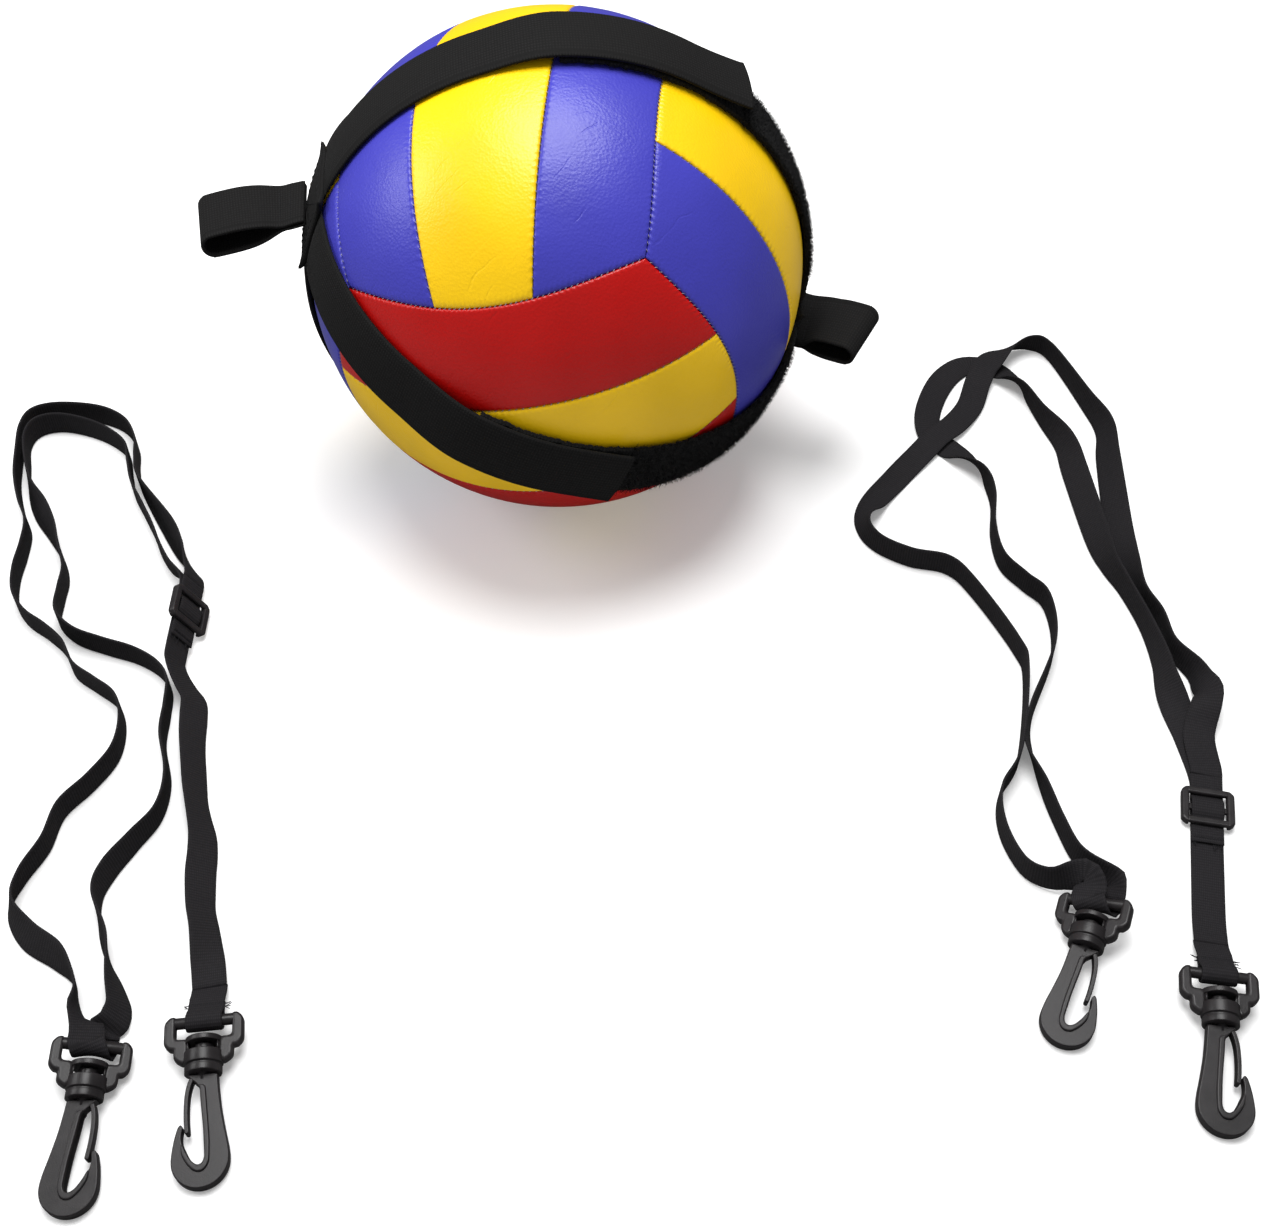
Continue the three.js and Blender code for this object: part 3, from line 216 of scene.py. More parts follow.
# %% Rope points: x, y, roll in degrees, and lift where there is one
ROUTES = {
    "left_single": [
        (-0.1236, -0.2899, 0, 0.00275), (-0.1255, -0.2815, 8, 0.0012), (-0.1275, -0.273, 28),
        (-0.1295, -0.265, 38), (-0.132, -0.257, 40), (-0.1335, -0.249, 36), (-0.1347, -0.241, 33),
        (-0.1353, -0.2325, 36), (-0.1365, -0.2245, 42), (-0.139, -0.2165, 50), (-0.1415, -0.2085, 53),
        (-0.1435, -0.2005, 50), (-0.1452, -0.1925, 49), (-0.147, -0.184, 48), (-0.1485, -0.1755, 44),
        (-0.1495, -0.167, 40), (-0.1507, -0.1585, 44), (-0.1544, -0.153, 50, 0.0004),
        (-0.158, -0.1473, 56, 0.0016), (-0.1606, -0.1415, 60, 0.003), (-0.161, -0.136, 60, 0.00343),
        (-0.161, -0.1145, 60, 0.00343),
    ],
    "left_inner": [
        (-0.161, -0.1142, -120, 0.00343), (-0.161, -0.1015, -120, 0.00343), (-0.1645, -0.0935, -110, 0.0024),
        (-0.172, -0.086, -95, 0.0008), (-0.1785, -0.0755, -90), (-0.184, -0.0635, -90),
        (-0.191, -0.0505, -90), (-0.198, -0.0375, -90), (-0.2025, -0.0235, -90), (-0.206, -0.012, -90),
        (-0.216, -0.0025, -90), (-0.229, 0.004, -90), (-0.242, 0.0068, -90), (-0.2515, 0.0035, -90),
        (-0.2543, -0.0055, -90), (-0.2513, -0.0195, -90), (-0.246, -0.0365, -104), (-0.2385, -0.0495, -124),
        (-0.2305, -0.0625, -112), (-0.223, -0.0775, -90), (-0.2185, -0.0895, -90), (-0.218, -0.1015, -90),
        (-0.2165, -0.1145, -90), (-0.207, -0.1245, -90), (-0.193, -0.1305, -90), (-0.179, -0.1355, -90),
        (-0.168, -0.1426, -90), (-0.162, -0.1515, -90), (-0.1606, -0.1645, -90), (-0.1598, -0.1795, -90),
        (-0.1545, -0.1985, -90), (-0.1553, -0.215, -90), (-0.1625, -0.228, -84), (-0.17, -0.2415, -78),
        (-0.172, -0.2535, -86), (-0.1655, -0.2715, -107), (-0.1585, -0.289, -72),
        (-0.1548, -0.2985, -58, 0.0002), (-0.155, -0.3044, -48, 0.0014),
    ],
    "left_outer": [
        (-0.15979, -0.0978, -120, 0.00413), (-0.1602, -0.0937, -118, 0.0038),
        (-0.1626, -0.0885, -108, 0.0024), (-0.1665, -0.0815, -88, 0.0008), (-0.171, -0.0735, -72),
        (-0.178, -0.061, -66), (-0.195, -0.035, -90), (-0.1995, -0.0215, -90), (-0.202, -0.0085, -90),
        (-0.2085, 0.0035, -90), (-0.219, 0.0108, -90), (-0.232, 0.0139, -90), (-0.246, 0.0139, -90),
        (-0.255, 0.0095, -90), (-0.2577, -0.0005, -90), (-0.256, -0.0155, -90), (-0.253, -0.0325, -90),
        (-0.2475, -0.0485, -90), (-0.2415, -0.0615, -90), (-0.2403, -0.0755, -90), (-0.2403, -0.0895, -90),
        (-0.2375, -0.1035, -90), (-0.23, -0.1145, -90), (-0.2195, -0.1225, -90), (-0.21, -0.1315, -90),
        (-0.203, -0.1435, -90), (-0.1925, -0.1515, -90), (-0.1825, -0.1595, -90), (-0.1778, -0.1715, -90),
        (-0.178, -0.1865, -90), (-0.185, -0.2005, -90), (-0.194, -0.2135, -90), (-0.1967, -0.2295, -90),
        (-0.2025, -0.244, -94), (-0.204, -0.257, -108), (-0.195, -0.269, -128), (-0.1825, -0.2775, -122),
        (-0.1745, -0.286, -98), (-0.1713, -0.294, -98), (-0.1693, -0.301, -80, 0.0018),
    ],
    "right_single": [
        (0.2494, -0.2716, 0, 0.00275), (0.2503, -0.267, 0, 0.0016), (0.2512, -0.2625, 0, 0.0006),
        (0.2521, -0.2579, 0, 0.0001), (0.253, -0.2533, 0), (0.2539, -0.2487, 0), (0.2548, -0.2441, 0),
        (0.2557, -0.2395, 0), (0.2566, -0.2349, 0), (0.2575, -0.2303, 0), (0.2584, -0.2257, 0),
        (0.2593, -0.2211, 0), (0.2601, -0.2168, 0), (0.2606, -0.2141, 0), (0.26115, -0.2113, 0),
    ],
    "right_inner": [
        (0.26125, -0.2107, 0), (0.2639, -0.196, 0), (0.2622, -0.1775, -3), (0.261, -0.17, -6),
        (0.2595, -0.163, -14), (0.258, -0.156, -33), (0.2567, -0.1475, -56), (0.2562, -0.1355, -72),
        (0.2535, -0.1165, -84), (0.2485, -0.0965, -84), (0.2443, -0.0825, -70), (0.2423, -0.0645, -42),
        (0.2393, -0.0245, -34), (0.2368, -0.0055, -58), (0.229, 0.0115, -87), (0.2228, 0.03, -105),
        (0.217, 0.043, -162), (0.21, 0.051, -177), (0.1985, 0.0535, -180), (0.188, 0.0455, -184),
        (0.1795, 0.0305, -194), (0.1743, 0.0135, -192), (0.1763, 0.001, -180), (0.1845, -0.0075, -182),
        (0.1915, -0.018, -225), (0.1963, -0.0295, -265), (0.1979, -0.0435, -270), (0.1952, -0.0635, -270),
        (0.1968, -0.0815, -270), (0.205, -0.094, -270), (0.213, -0.1055, -270), (0.2118, -0.1315, -268),
        (0.197, -0.1655, -262), (0.1936, -0.1835, -248), (0.197, -0.203, -268), (0.2005, -0.22, -270),
        (0.2048, -0.234, -272), (0.2125, -0.242, -278, 0.0002), (0.2163, -0.247, -306, 0.0012),
    ],
    "right_outer": [
        (0.26441, -0.19457, 180, 0.0014), (0.2651, -0.1907, 180, 0.0014), (0.265, -0.1775, 177, 0.0019),
        (0.2667, -0.1705, 172, 0.0024), (0.2694, -0.1635, 160, 0.0056), (0.2719, -0.1565, 140, 0.0046),
        (0.271, -0.15, 122, 0.0011), (0.2695, -0.143, 105), (0.2625, -0.131, 92), (0.2605, -0.115, 90),
        (0.2553, -0.1, 93), (0.253, -0.0815, 128), (0.2534, -0.0595, 153), (0.256, -0.0155, 137),
        (0.2575, 0.0045, 118), (0.252, 0.022, 98), (0.24, 0.057, 85), (0.231, 0.0642, 75),
        (0.219, 0.06, 48, 0.001), (0.2085, 0.0505, 0, 0.0048), (0.202, 0.0385, 0, 0.0038),
        (0.1963, 0.0235, 0, 0.0008), (0.187, 0.0095, 0, 0.0022), (0.178, 0.001, 0, 0.0026),
        (0.1685, -0.01, 0, 0.0016), (0.155, -0.026, 0), (0.143, -0.0425, 14), (0.1372, -0.0585, 68),
        (0.142, -0.0705, 88), (0.156, -0.0795, 90), (0.172, -0.084, 90), (0.1815, -0.0965, 90),
        (0.196, -0.1295, 90), (0.198, -0.1455, 90), (0.1895, -0.1865, 90), (0.179, -0.2055, 90),
        (0.1776, -0.2225, 90), (0.183, -0.239, 91), (0.1915, -0.2454, 84, 0.0008),
        (0.199, -0.2458, 66, 0.003), (0.2046, -0.2466, 42, 0.0066),
    ],
}
print("routes:", {name: len(points) for name, points in ROUTES.items()})

# %% From points to a ribbon
RIBBON_WIDTH = 0.0128
RIBBON_THICKNESS = 0.0011
FLOOR_LIFT = 0.00005
BAR_RADIUS = 0.0021
CLEARANCE = 0.0003
WRAP_RADIUS = BAR_RADIUS + CLEARANCE + RIBBON_THICKNESS / 2
WRAP_STEPS = 16
TURN_LEG = 1.3 * WRAP_RADIUS
TURN_SLANT = 0.0056
TURN_LEAD = 0.0025
TURN_GAP = 0.0005
SLIDE_SOFT_LENGTH = 0.09
SLIDE_END_ROW = 40


def joint_place(name):
    return Vector(JOINTS[name]["pos_m"])


def joint_way(name):
    return Vector(JOINTS[name]["axis"]).normalized()


def bar_axes(name):
    """The middle of a hook's strap bar, with the ways across, ahead and up."""
    across = -joint_way(f"{name}_ring_pivot")
    ahead = across.cross(AXIS_Z).normalized()
    return joint_place(f"{name}_ring_pivot"), across, ahead, ahead.cross(across)


def beside_bar(name, x, z, share):
    """A place beside the bar, as far along it as the ribbon's slant has come, with the way across."""
    middle, across, ahead, up = bar_axes(name)
    return middle + ahead * x + up * z + across * (share - 0.5) * TURN_SLANT, across


def lying_rows(route, step=0.0022):
    """Centre points of a lying ribbon, each with the way across it."""
    rows = smooth_line([(*row, 0)[:4] for row in route], step)
    places = []
    for x, y, roll, lift in rows:
        rise = RIBBON_WIDTH / 2 * abs(math.sin(math.radians(roll)))
        flat = RIBBON_THICKNESS / 2 * abs(math.cos(math.radians(roll)))
        places.append(Vector((x, y, FLOOR_LIFT + rise + flat + max(lift, 0))))
    found = []
    for i, place in enumerate(places):
        ahead = ahead_at(places, i)
        left = Vector((-ahead.y, ahead.x, 0)).normalized()
        roll = math.radians(rows[i][2])
        found.append((place, left * math.cos(roll) + Vector((0, 0, math.sin(roll)))))
    return found


def eased_into(rows, ends, steps=4):
    """Rows that run on softly from the last lying row to the first of the given ends."""
    (p, across_p), (q, across_q) = rows[-1], ends[0]
    gap = (q - p).length
    out_way = (p - rows[-2][0]).normalized() * gap
    in_way = (ends[1][0] - q).normalized() * gap
    between = []
    for k in range(1, steps):
        t = k / steps
        place = p * (2 * t**3 - 3 * t**2 + 1) + out_way * (t**3 - 2 * t**2 + t)
        place += q * (3 * t**2 - 2 * t**3) + in_way * (t**3 - t**2)
        between.append((place, across_p.lerp(across_q, soft(t)).normalized()))
    return rows + between + ends


def turn_rows(name):
    """The ribbon's way over a ring's bar, down through the slot and back below."""
    found = [beside_bar(name, -TURN_LEG, WRAP_RADIUS, 0)]
    for i in range(WRAP_STEPS + 1):
        share = i / WRAP_STEPS
        angle = math.pi * (0.5 - share)
        found.append(beside_bar(name, WRAP_RADIUS * math.cos(angle), WRAP_RADIUS * math.sin(angle), share))
    found.append(beside_bar(name, -TURN_LEG, -WRAP_RADIUS, 1))
    return found


RIBBON_SECTION = flat_section(RIBBON_WIDTH, RIBBON_THICKNESS, 8)


def ribbon(name, rows, section=RIBBON_SECTION):
    points, around = section
    middles = [row[0] for row in rows]
    rings = []
    for i, (place, across) in enumerate(rows):
        ahead = ahead_at(middles, i).normalized()
        side = (across - ahead * across.dot(ahead)).normalized()
        up = ahead.cross(side)
        rings.append([place + side * a + up * h for a, h in points])
    return sweep(name, rings, around, lengths(middles))


# %% [markdown]
# ## The four rope pieces
# On the real rope one ribbon runs from the sewn hook, under the slider and on to the second hook. There it
# turns round a bar and comes back to the slider, where its end is sewn. So each rope has two pieces here:
# the ribbon up to the second hook, and the stretch that comes back.

# %% Ropes
def soften_from_slider(piece, along):
    """Works out the share of each point that would stay behind when the slider moves, by its way along the
    ribbon. The shares are not kept.
    """
    sides = len(piece.data.vertices) // len(along)
    shares = []
    for way in along:
        shares += [soft(min(way / SLIDE_SOFT_LENGTH, 1))] * sides


def rope_piece(name, rows, *nodes):
    piece = ribbon(name, rows)
    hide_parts(*nodes)
    path = [tuple(row[0]) for row in rows]
    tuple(path[0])
    round(lengths(path)[-1], 3)
    print(name, "length", round(lengths(path)[-1], 3))
    return piece


ROPES = []
for side in ("left", "right"):
    turn = f"{side}_turn"
    led = [beside_bar(turn, -TURN_LEG - TURN_GAP - back, -WRAP_RADIUS, 1) for back in (TURN_LEAD, 0)]
    through_rows = lying_rows(ROUTES[f"{side}_single"])
    through_rows += eased_into(lying_rows(ROUTES[f"{side}_inner"]), led)
    strands = (f"{side}_single_strand", f"{side}_inner_strand")
    through = rope_piece(f"{side}_through_rope", through_rows, *strands)
    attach(through, "root")
    back_rows = eased_into(lying_rows(ROUTES[f"{side}_outer"]), turn_rows(turn))
    back = rope_piece(f"{side}_returning_rope", back_rows, f"{side}_outer_strand")
    start, end = (tuple(back_rows[row][0]) for row in (0, SLIDE_END_ROW))
    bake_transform(back)
    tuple(start)
    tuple(end)
    # The ribbon winds, so the shares are measured along its own length rather than along a straight line.
    soften_from_slider(back, lengths([row[0] for row in back_rows]))
    ROPES += [through, back]

# %% [markdown]
# ## Materials: sewn leather
# The cover is synthetic leather with a fine pebble grain. Under studio light it is glossy, but the grain
# breaks the shine up. Noise and a small-cell pattern give the grain and the faint wrinkles, and each colour
# varies a little in tone from patch to patch.

# %% Helpers for materials
def new_material(name):
    material = bpy.data.materials.new(name)
    material.use_nodes = True
    nodes = material.node_tree.nodes
    return material, nodes, material.node_tree.links.new, nodes["Principled BSDF"]


def noise_of(nodes, link, place, scale, detail=3.0, roughness=0.55):
    noise = nodes.new("ShaderNodeTexNoise")
    noise.inputs["Scale"].default_value = scale
    noise.inputs["Detail"].default_value = detail
    noise.inputs["Roughness"].default_value = roughness
    link(place, noise.inputs["Vector"])
    return noise.outputs["Fac"]


def two_colours(nodes, link, amount, dark, light, low=0.35, high=0.65):
    ramp = nodes.new("ShaderNodeValToRGB")
    for element, position, colour in zip(ramp.color_ramp.elements, (low, high), (dark, light)):
        element.position, element.color = position, (*colour, 1)
    link(amount, ramp.inputs["Fac"])
    return ramp.outputs["Color"]


def roughness_of(nodes, link, amount, low, high):
    span = nodes.new("ShaderNodeMapRange")
    span.inputs["To Min"].default_value, span.inputs["To Max"].default_value = low, high
    link(amount, span.inputs["Value"])
    return span.outputs["Result"]


def bump_of(nodes, link, height, distance, strength, under=None):
    bump = nodes.new("ShaderNodeBump")
    bump.inputs["Distance"].default_value, bump.inputs["Strength"].default_value = distance, strength
    link(height, bump.inputs["Height"])
    if under is not None:
        link(under, bump.inputs["Normal"])
    return bump.outputs["Normal"]


def node_math(nodes, link, operation, *values):
    """One sum of the node kind. Plain numbers are set on its own sockets."""
    sum_node = nodes.new("ShaderNodeMath")
    sum_node.operation = operation
    for socket, value in zip(sum_node.inputs, values):
        if isinstance(value, (int, float)):
            socket.default_value = value
        else:
            link(value, socket)
    return sum_node.outputs["Value"]


def span_of(nodes, link, value, low, high, to_low=0.0, to_high=1.0):
    span = nodes.new("ShaderNodeMapRange")
    span.interpolation_type = "SMOOTHSTEP"
    for socket, number in zip(("From Min", "From Max", "To Min", "To Max"), (low, high, to_low, to_high)):
        span.inputs[socket].default_value = number
    link(value, span.inputs["Value"])
    return span.outputs["Result"]


def finish(link, shader, colour, roughness, relief, shine):
    """A material's colour, roughness and relief come from its patterns, and its shine is one number."""
    link(colour, shader.inputs["Base Color"])
    link(roughness, shader.inputs["Roughness"])
    link(relief, shader.inputs["Normal"])
    shader.inputs["Specular IOR Level"].default_value = shine


# %% Leather
STITCH_PITCH = 0.0029
STRIP_WIDE, STRIP_LONG = 0.0555, 0.165
PUCKER_REACH = 0.0034


def puckers(nodes, link, weave):
    """Little swellings between the stitches, beside the seams only."""
    parts = nodes.new("ShaderNodeSeparateXYZ")
    link(weave, parts.inputs["Vector"])
    across, along = parts.outputs["X"], parts.outputs["Y"]
    both = []
    for this, size, other, other_size in (
        (across, STRIP_WIDE, along, STRIP_LONG),
        (along, STRIP_LONG, across, STRIP_WIDE),
    ):
        from_edge = node_math(nodes, link, "MINIMUM", this, node_math(nodes, link, "SUBTRACT", 1.0, this))
        near = span_of(nodes, link, from_edge, 0.0, PUCKER_REACH / size, 1.0, 0.0)
        turns = node_math(nodes, link, "MULTIPLY", other, 2 * math.pi * other_size / STITCH_PITCH)
        both.append(node_math(nodes, link, "MULTIPLY", near, node_math(nodes, link, "COSINE", turns)))
    return node_math(nodes, link, "ADD", *both)


BANDS_PER_SCALE = 20 / (2 * math.pi)
CREASE_WAY = Vector((0.75, 0.61, 0.26)).normalized()
CREASE_SPREAD = CREASE_WAY.cross(Vector((0, -0.4, 0.92))).normalized()
CREASES_PER_METRE = 150


def wave_of(nodes, link, place, direction, per_metre, distortion=0.0):
    """Bands at so many per metre. A wave node of scale 1 makes about three bands in each unit."""
    wave = nodes.new("ShaderNodeTexWave")
    wave.bands_direction = direction
    wave.inputs["Scale"].default_value = per_metre / BANDS_PER_SCALE
    wave.inputs["Distortion"].default_value = distortion
    link(place, wave.inputs["Vector"])
    return wave.outputs["Fac"]


def creases(nodes, link, place):
    """Long fine wrinkles that run one way, in some places only."""
    turn = nodes.new("ShaderNodeMapping")
    axes = Matrix((CREASE_SPREAD, CREASE_WAY, CREASE_SPREAD.cross(CREASE_WAY)))
    turn.inputs["Rotation"].default_value = axes.to_euler()
    link(place, turn.inputs["Vector"])
    bands = wave_of(nodes, link, turn.outputs["Vector"], "X", CREASES_PER_METRE, distortion=5)
    line = span_of(nodes, link, bands, 0.95, 1.0)
    where = span_of(nodes, link, noise_of(nodes, link, place, scale=38, detail=2), 0.57, 0.7)
    return node_math(nodes, link, "MULTIPLY", line, where)


def leather(name, colour):
    material, nodes, link, shader = new_material(name)
    coordinates = nodes.new("ShaderNodeTexCoord")
    place, weave = coordinates.outputs["Object"], coordinates.outputs["UV"]
    pebbles = nodes.new("ShaderNodeTexVoronoi")
    pebbles.inputs["Scale"].default_value = 900
    link(place, pebbles.inputs["Vector"])
    waves = noise_of(nodes, link, place, scale=60, detail=4, roughness=0.6)
    patches = noise_of(nodes, link, place, scale=16, detail=2)
    folds = node_math(nodes, link, "MULTIPLY", creases(nodes, link, place), -1.0)
    relief = bump_of(nodes, link, waves, distance=0.0007, strength=0.4)
    relief = bump_of(nodes, link, folds, distance=0.00013, strength=0.7, under=relief)
    relief = bump_of(nodes, link, puckers(nodes, link, weave), distance=0.00012, strength=0.7, under=relief)
    relief = bump_of(nodes, link, pebbles.outputs["Distance"], distance=0.00015, strength=0.5, under=relief)
    dyed = two_colours(nodes, link, patches, tuple(c * 0.84 for c in colour), colour)
    finish(link, shader, dyed, roughness_of(nodes, link, waves, 0.28, 0.42), relief, shine=0.4)
    return material


LEATHERS = {
    "blue": leather("blue_leather", (0.052, 0.05, 0.44)),
    "yellow": leather("yellow_leather", (0.97, 0.6, 0.002)),
    "red": leather("red_leather", (0.52, 0.003, 0.002)),
}
print("leathers:", list(LEATHERS))

# %% [markdown]
# ## The ball's cover
# Six faces of three strips make the ball. The strips of each face run across those of the next, and their
# ends bulge into the neighbour, which gives the seams their curve. Each strip is a grid laid on the ball
# from two angles. Near the seams it rolls down, so that the leather looks stuffed and sewn. One strip has
# a round hole, cut by a boolean, for the valve.

# %% The ball's faces
BALL_RADIUS = 0.105
BALL_CENTRE = Vector((0, 0, 0.1074))
PANEL_DEPTH = 0.0017
FACE_HALF_DEG = 45
STRIP_HALF_DEG = 15.24
STRIP_EDGES = (-FACE_HALF_DEG, -STRIP_HALF_DEG, STRIP_HALF_DEG, FACE_HALF_DEG)
END_BULGE_DEG = 6.6
CORNER_DEG = 35.26
SEAM_INSET = 0.00012
SEAM_ROLL = 0.002
SEAM_DEPTH = 0.0009
SEAM_GRID = (0.0003, 0.0008, 0.0015, 0.0024)
VALVE_ALONG_DEG = -18
VALVE_HOLE_RADIUS = 0.0033
DRILL_SIDES = 48
DRILL_REACH = 0.006


def turned(degrees):
    x, y, z = (math.radians(d) for d in degrees)
    return Matrix.Rotation(x, 3, "X") @ Matrix.Rotation(y, 3, "Y") @ Matrix.Rotation(z, 3, "Z")


BALL_TURN = turned((7.73, -14.28, -5.99))
FACES = {
    "top": (AXIS_Z, AXIS_X, ("blue", "yellow", "blue")),
    "bottom": (-AXIS_Z, AXIS_X, ("red", "yellow", "red")),
    "front": (-AXIS_Y, AXIS_Z, ("red", "yellow", "red")),
    "back": (AXIS_Y, AXIS_Z, ("blue", "yellow", "blue")),
    "right": (AXIS_X, AXIS_Y, ("blue", "yellow", "red")),
    "left": (-AXIS_X, AXIS_Y, ("blue", "yellow", "red")),
}


def bulge(direction, edge_axis):
    along = math.degrees(math.asin(max(-1, min(1, direction.dot(edge_axis)))))
    return math.radians(END_BULGE_DEG) * math.cos(min(abs(along) / CORNER_DEG, 1) * math.pi / 2)


def panel_direction(normal, across, across_deg, along_deg):
    """The way out of the ball at two angles from the middle of a face, before the ball is turned."""
    along = normal.cross(across)
    there = normal + across * math.tan(math.radians(across_deg)) + along * math.tan(math.radians(along_deg))
    there.normalize()
    side_shift = bulge(there, along) * (across_deg / FACE_HALF_DEG) ** 3
    end_shift = bulge(there, across) * (along_deg / FACE_HALF_DEG) ** 3
    there = Matrix.Rotation(-side_shift, 3, along) @ there
    return Matrix.Rotation(-end_shift, 3, across) @ there


# %% Panels
def eased(count, edge_shares):
    """Shares from 0 to 1 that crowd at both ends."""
    inner = [edge_shares[-1] + (1 - 2 * edge_shares[-1]) * i / count for i in range(1, count)]
    return [0.0, *edge_shares, *inner, *[1 - s for s in reversed(edge_shares)], 1.0]


def padded_grid(name, columns, rows, place_of, size=1.0):
    """Two layers of a grid, closed round the rim. place_of(layer, s, t) gives each point."""
    n, m = len(columns), len(rows)

    def at(layer, i, j):
        return layer * n * m + i * m + j

    faces = []
    for i in range(n - 1):
        for j in range(m - 1):
            faces.append((at(0, i, j), at(0, i + 1, j), at(0, i + 1, j + 1), at(0, i, j + 1)))
            faces.append((at(1, i, j), at(1, i, j + 1), at(1, i + 1, j + 1), at(1, i + 1, j)))
    rim = [(0, j) for j in range(m - 1)] + [(i, m - 1) for i in range(n - 1)]
    rim += [(n - 1, j) for j in range(m - 1, 0, -1)] + [(i, 0) for i in range(n - 1, 0, -1)]
    for (i, j), (p, q) in zip(rim, rim[1:] + rim[:1]):
        faces.append((at(0, i, j), at(0, p, q), at(1, p, q), at(1, i, j)))
    piece = add_piece(name, [place_of(layer, s, t) for layer in (0, 1) for s in columns for t in rows], faces)
    weave = piece.data.uv_layers.new(name="weave")
    shares = np.array([(s * size, t * size) for s in columns for t in rows] * 2, np.float32)
    corners = np.zeros(len(piece.data.loops), np.int32)
    piece.data.loops.foreach_get("vertex_index", corners)
    weave.data.foreach_set("uv", shares[corners].ravel())
    return piece


def roll_down(distance):
    if distance >= SEAM_ROLL:
        return 0.0
    return SEAM_DEPTH * (1 - math.sqrt(1 - (1 - distance / SEAM_ROLL) ** 2))


def panel(name, normal, across, strip):
    low, high = STRIP_EDGES[strip : strip + 2]
    inset = math.degrees(SEAM_INSET / BALL_RADIUS)
    wide, long = (math.radians(angle) * BALL_RADIUS for angle in (high - low, 2 * FACE_HALF_DEG))

    def place_of(layer, s, t):
        across_deg = low + inset + (high - low - 2 * inset) * s
        away = panel_direction(normal, across, across_deg, (FACE_HALF_DEG - inset) * (2 * t - 1))
        edge = min(min(s, 1 - s) * wide, min(t, 1 - t) * long)
        depth = PANEL_DEPTH if layer else roll_down(edge)
        return BALL_CENTRE + BALL_TURN @ away * (BALL_RADIUS - depth)

    columns = eased(10, [d / wide for d in SEAM_GRID])
    return padded_grid(name, columns, eased(30, [d / long for d in SEAM_GRID]), place_of)


def round_hole(piece, middle, out, radius):
    """Cut a round hole right through a piece."""
    side = out.orthogonal().normalized()
    points = []
    for end in (-DRILL_REACH, DRILL_REACH):
        points += circle(middle + out * end, side, out.cross(side), radius, DRILL_SIDES)
    cutter = add_piece("valve_drill", points, tube_faces(2, DRILL_SIDES))
    cut = piece.modifiers.new("valve_hole", "BOOLEAN")
    cut.object, cut.operation = cutter, "DIFFERENCE"
    bpy.context.view_layer.update()
    mesh = bpy.data.meshes.new_from_object(piece.evaluated_get(bpy.context.evaluated_depsgraph_get()))
    piece.modifiers.clear()
    piece.data = mesh
    bpy.data.objects.remove(cutter)


VALVE_OUT = BALL_TURN @ panel_direction(*FACES["back"][:2], 0, VALVE_ALONG_DEG)
for face, (normal, across, colours) in FACES.items():
    for strip, place in enumerate(("first", "middle", "last")):
        piece = panel(f"cover_{face}_{place}", normal, across, strip)
        if (face, place) == ("back", "middle"):
            round_hole(piece, BALL_CENTRE + VALVE_OUT * BALL_RADIUS, VALVE_OUT, VALVE_HOLE_RADIUS)
        colour = colours[strip]
        dress(piece, LEATHERS[colour], f"{colour}_leather", "root", f"panel_{face}_{place}")
print("panels:", 3 * len(FACES))

# %% [markdown]
# ## Thread
# Thread shows in three places: pale along the ball's seams, black where the straps are sewn, and loose at
# the ribbons' cut ends. A curve with a bevel would do, but so many small ones are lighter as one mesh of
# thin tubes, which this helper makes.

# %% Threads
THREAD_SIDES = 6
THREAD_TIP_SHARE = 0.45
STITCH_LINE = ((-1, 0.9), (-0.72, 0.25), (0, 0), (0.72, 0.25), (1, 0.9))
STITCH_SINK_SHARE = 2.2


def thread_form(line, radius):
    """A thin round thread along a line of points."""
    points = []
    for i, here in enumerate(line):
        ahead = ahead_at(line, i).normalized()
        side = ahead.orthogonal() if i == 0 else side - ahead * side.dot(ahead)
        side.normalize()
        thin = radius * (THREAD_TIP_SHARE if i in (0, len(line) - 1) else 1)
        points += circle(here, side, ahead.cross(side), thin, THREAD_SIDES)
    return points, tube_faces(len(line), THREAD_SIDES)


def stitch_form(middle, way, outward, half_length, radius):
    """A short thread that bends down into the cloth or leather at both ends."""
    line = []
    for t, sink in STITCH_LINE:
        line.append(middle + way * (half_length * t) - outward * (radius * STITCH_SINK_SHARE * sink))
    return thread_form(line, radius)


def thread_material(name, colour):
    """A spun thread: fine twisted bands, hardly any shine."""
    material, nodes, link, shader = new_material(name)
    place = nodes.new("ShaderNodeTexCoord").outputs["Object"]
    twist = noise_of(nodes, link, place, scale=1500, detail=2)
    dyed = two_colours(nodes, link, twist, tuple(c * 0.6 for c in colour), colour)
    relief = bump_of(nodes, link, twist, distance=0.0001, strength=0.5)
    finish(link, shader, dyed, roughness_of(nodes, link, twist, 0.5, 0.8), relief, shine=0.15)
    return material


BLACK_THREAD = thread_material("black_thread", (0.014, 0.014, 0.016))
PALE_THREAD = thread_material("pale_thread", (0.36, 0.34, 0.42))


def sewn_piece(name, forms, body, slot):
    """Many black threads as one piece."""
    return dress(add_piece(name, *joined(forms)), BLACK_THREAD, slot, body)


# %% [markdown]
# ## The seams' stitches
# The panels are sewn from inside, so outside only short bits of pale thread cross each seam. Every face has
# four seams that run its whole length, two inside it and one at each side, and these are all the seams of
# the ball. Each stitch is a short slanted tube, sunk into the seam so that both ends go into the leather.

# %% Stitches
STITCHES_PER_SEAM = round(STRIP_LONG / STITCH_PITCH)
STITCH_HALF_LENGTH = 0.0007
STITCH_RADIUS = 0.00013
STITCH_DEPTH = 0.00042


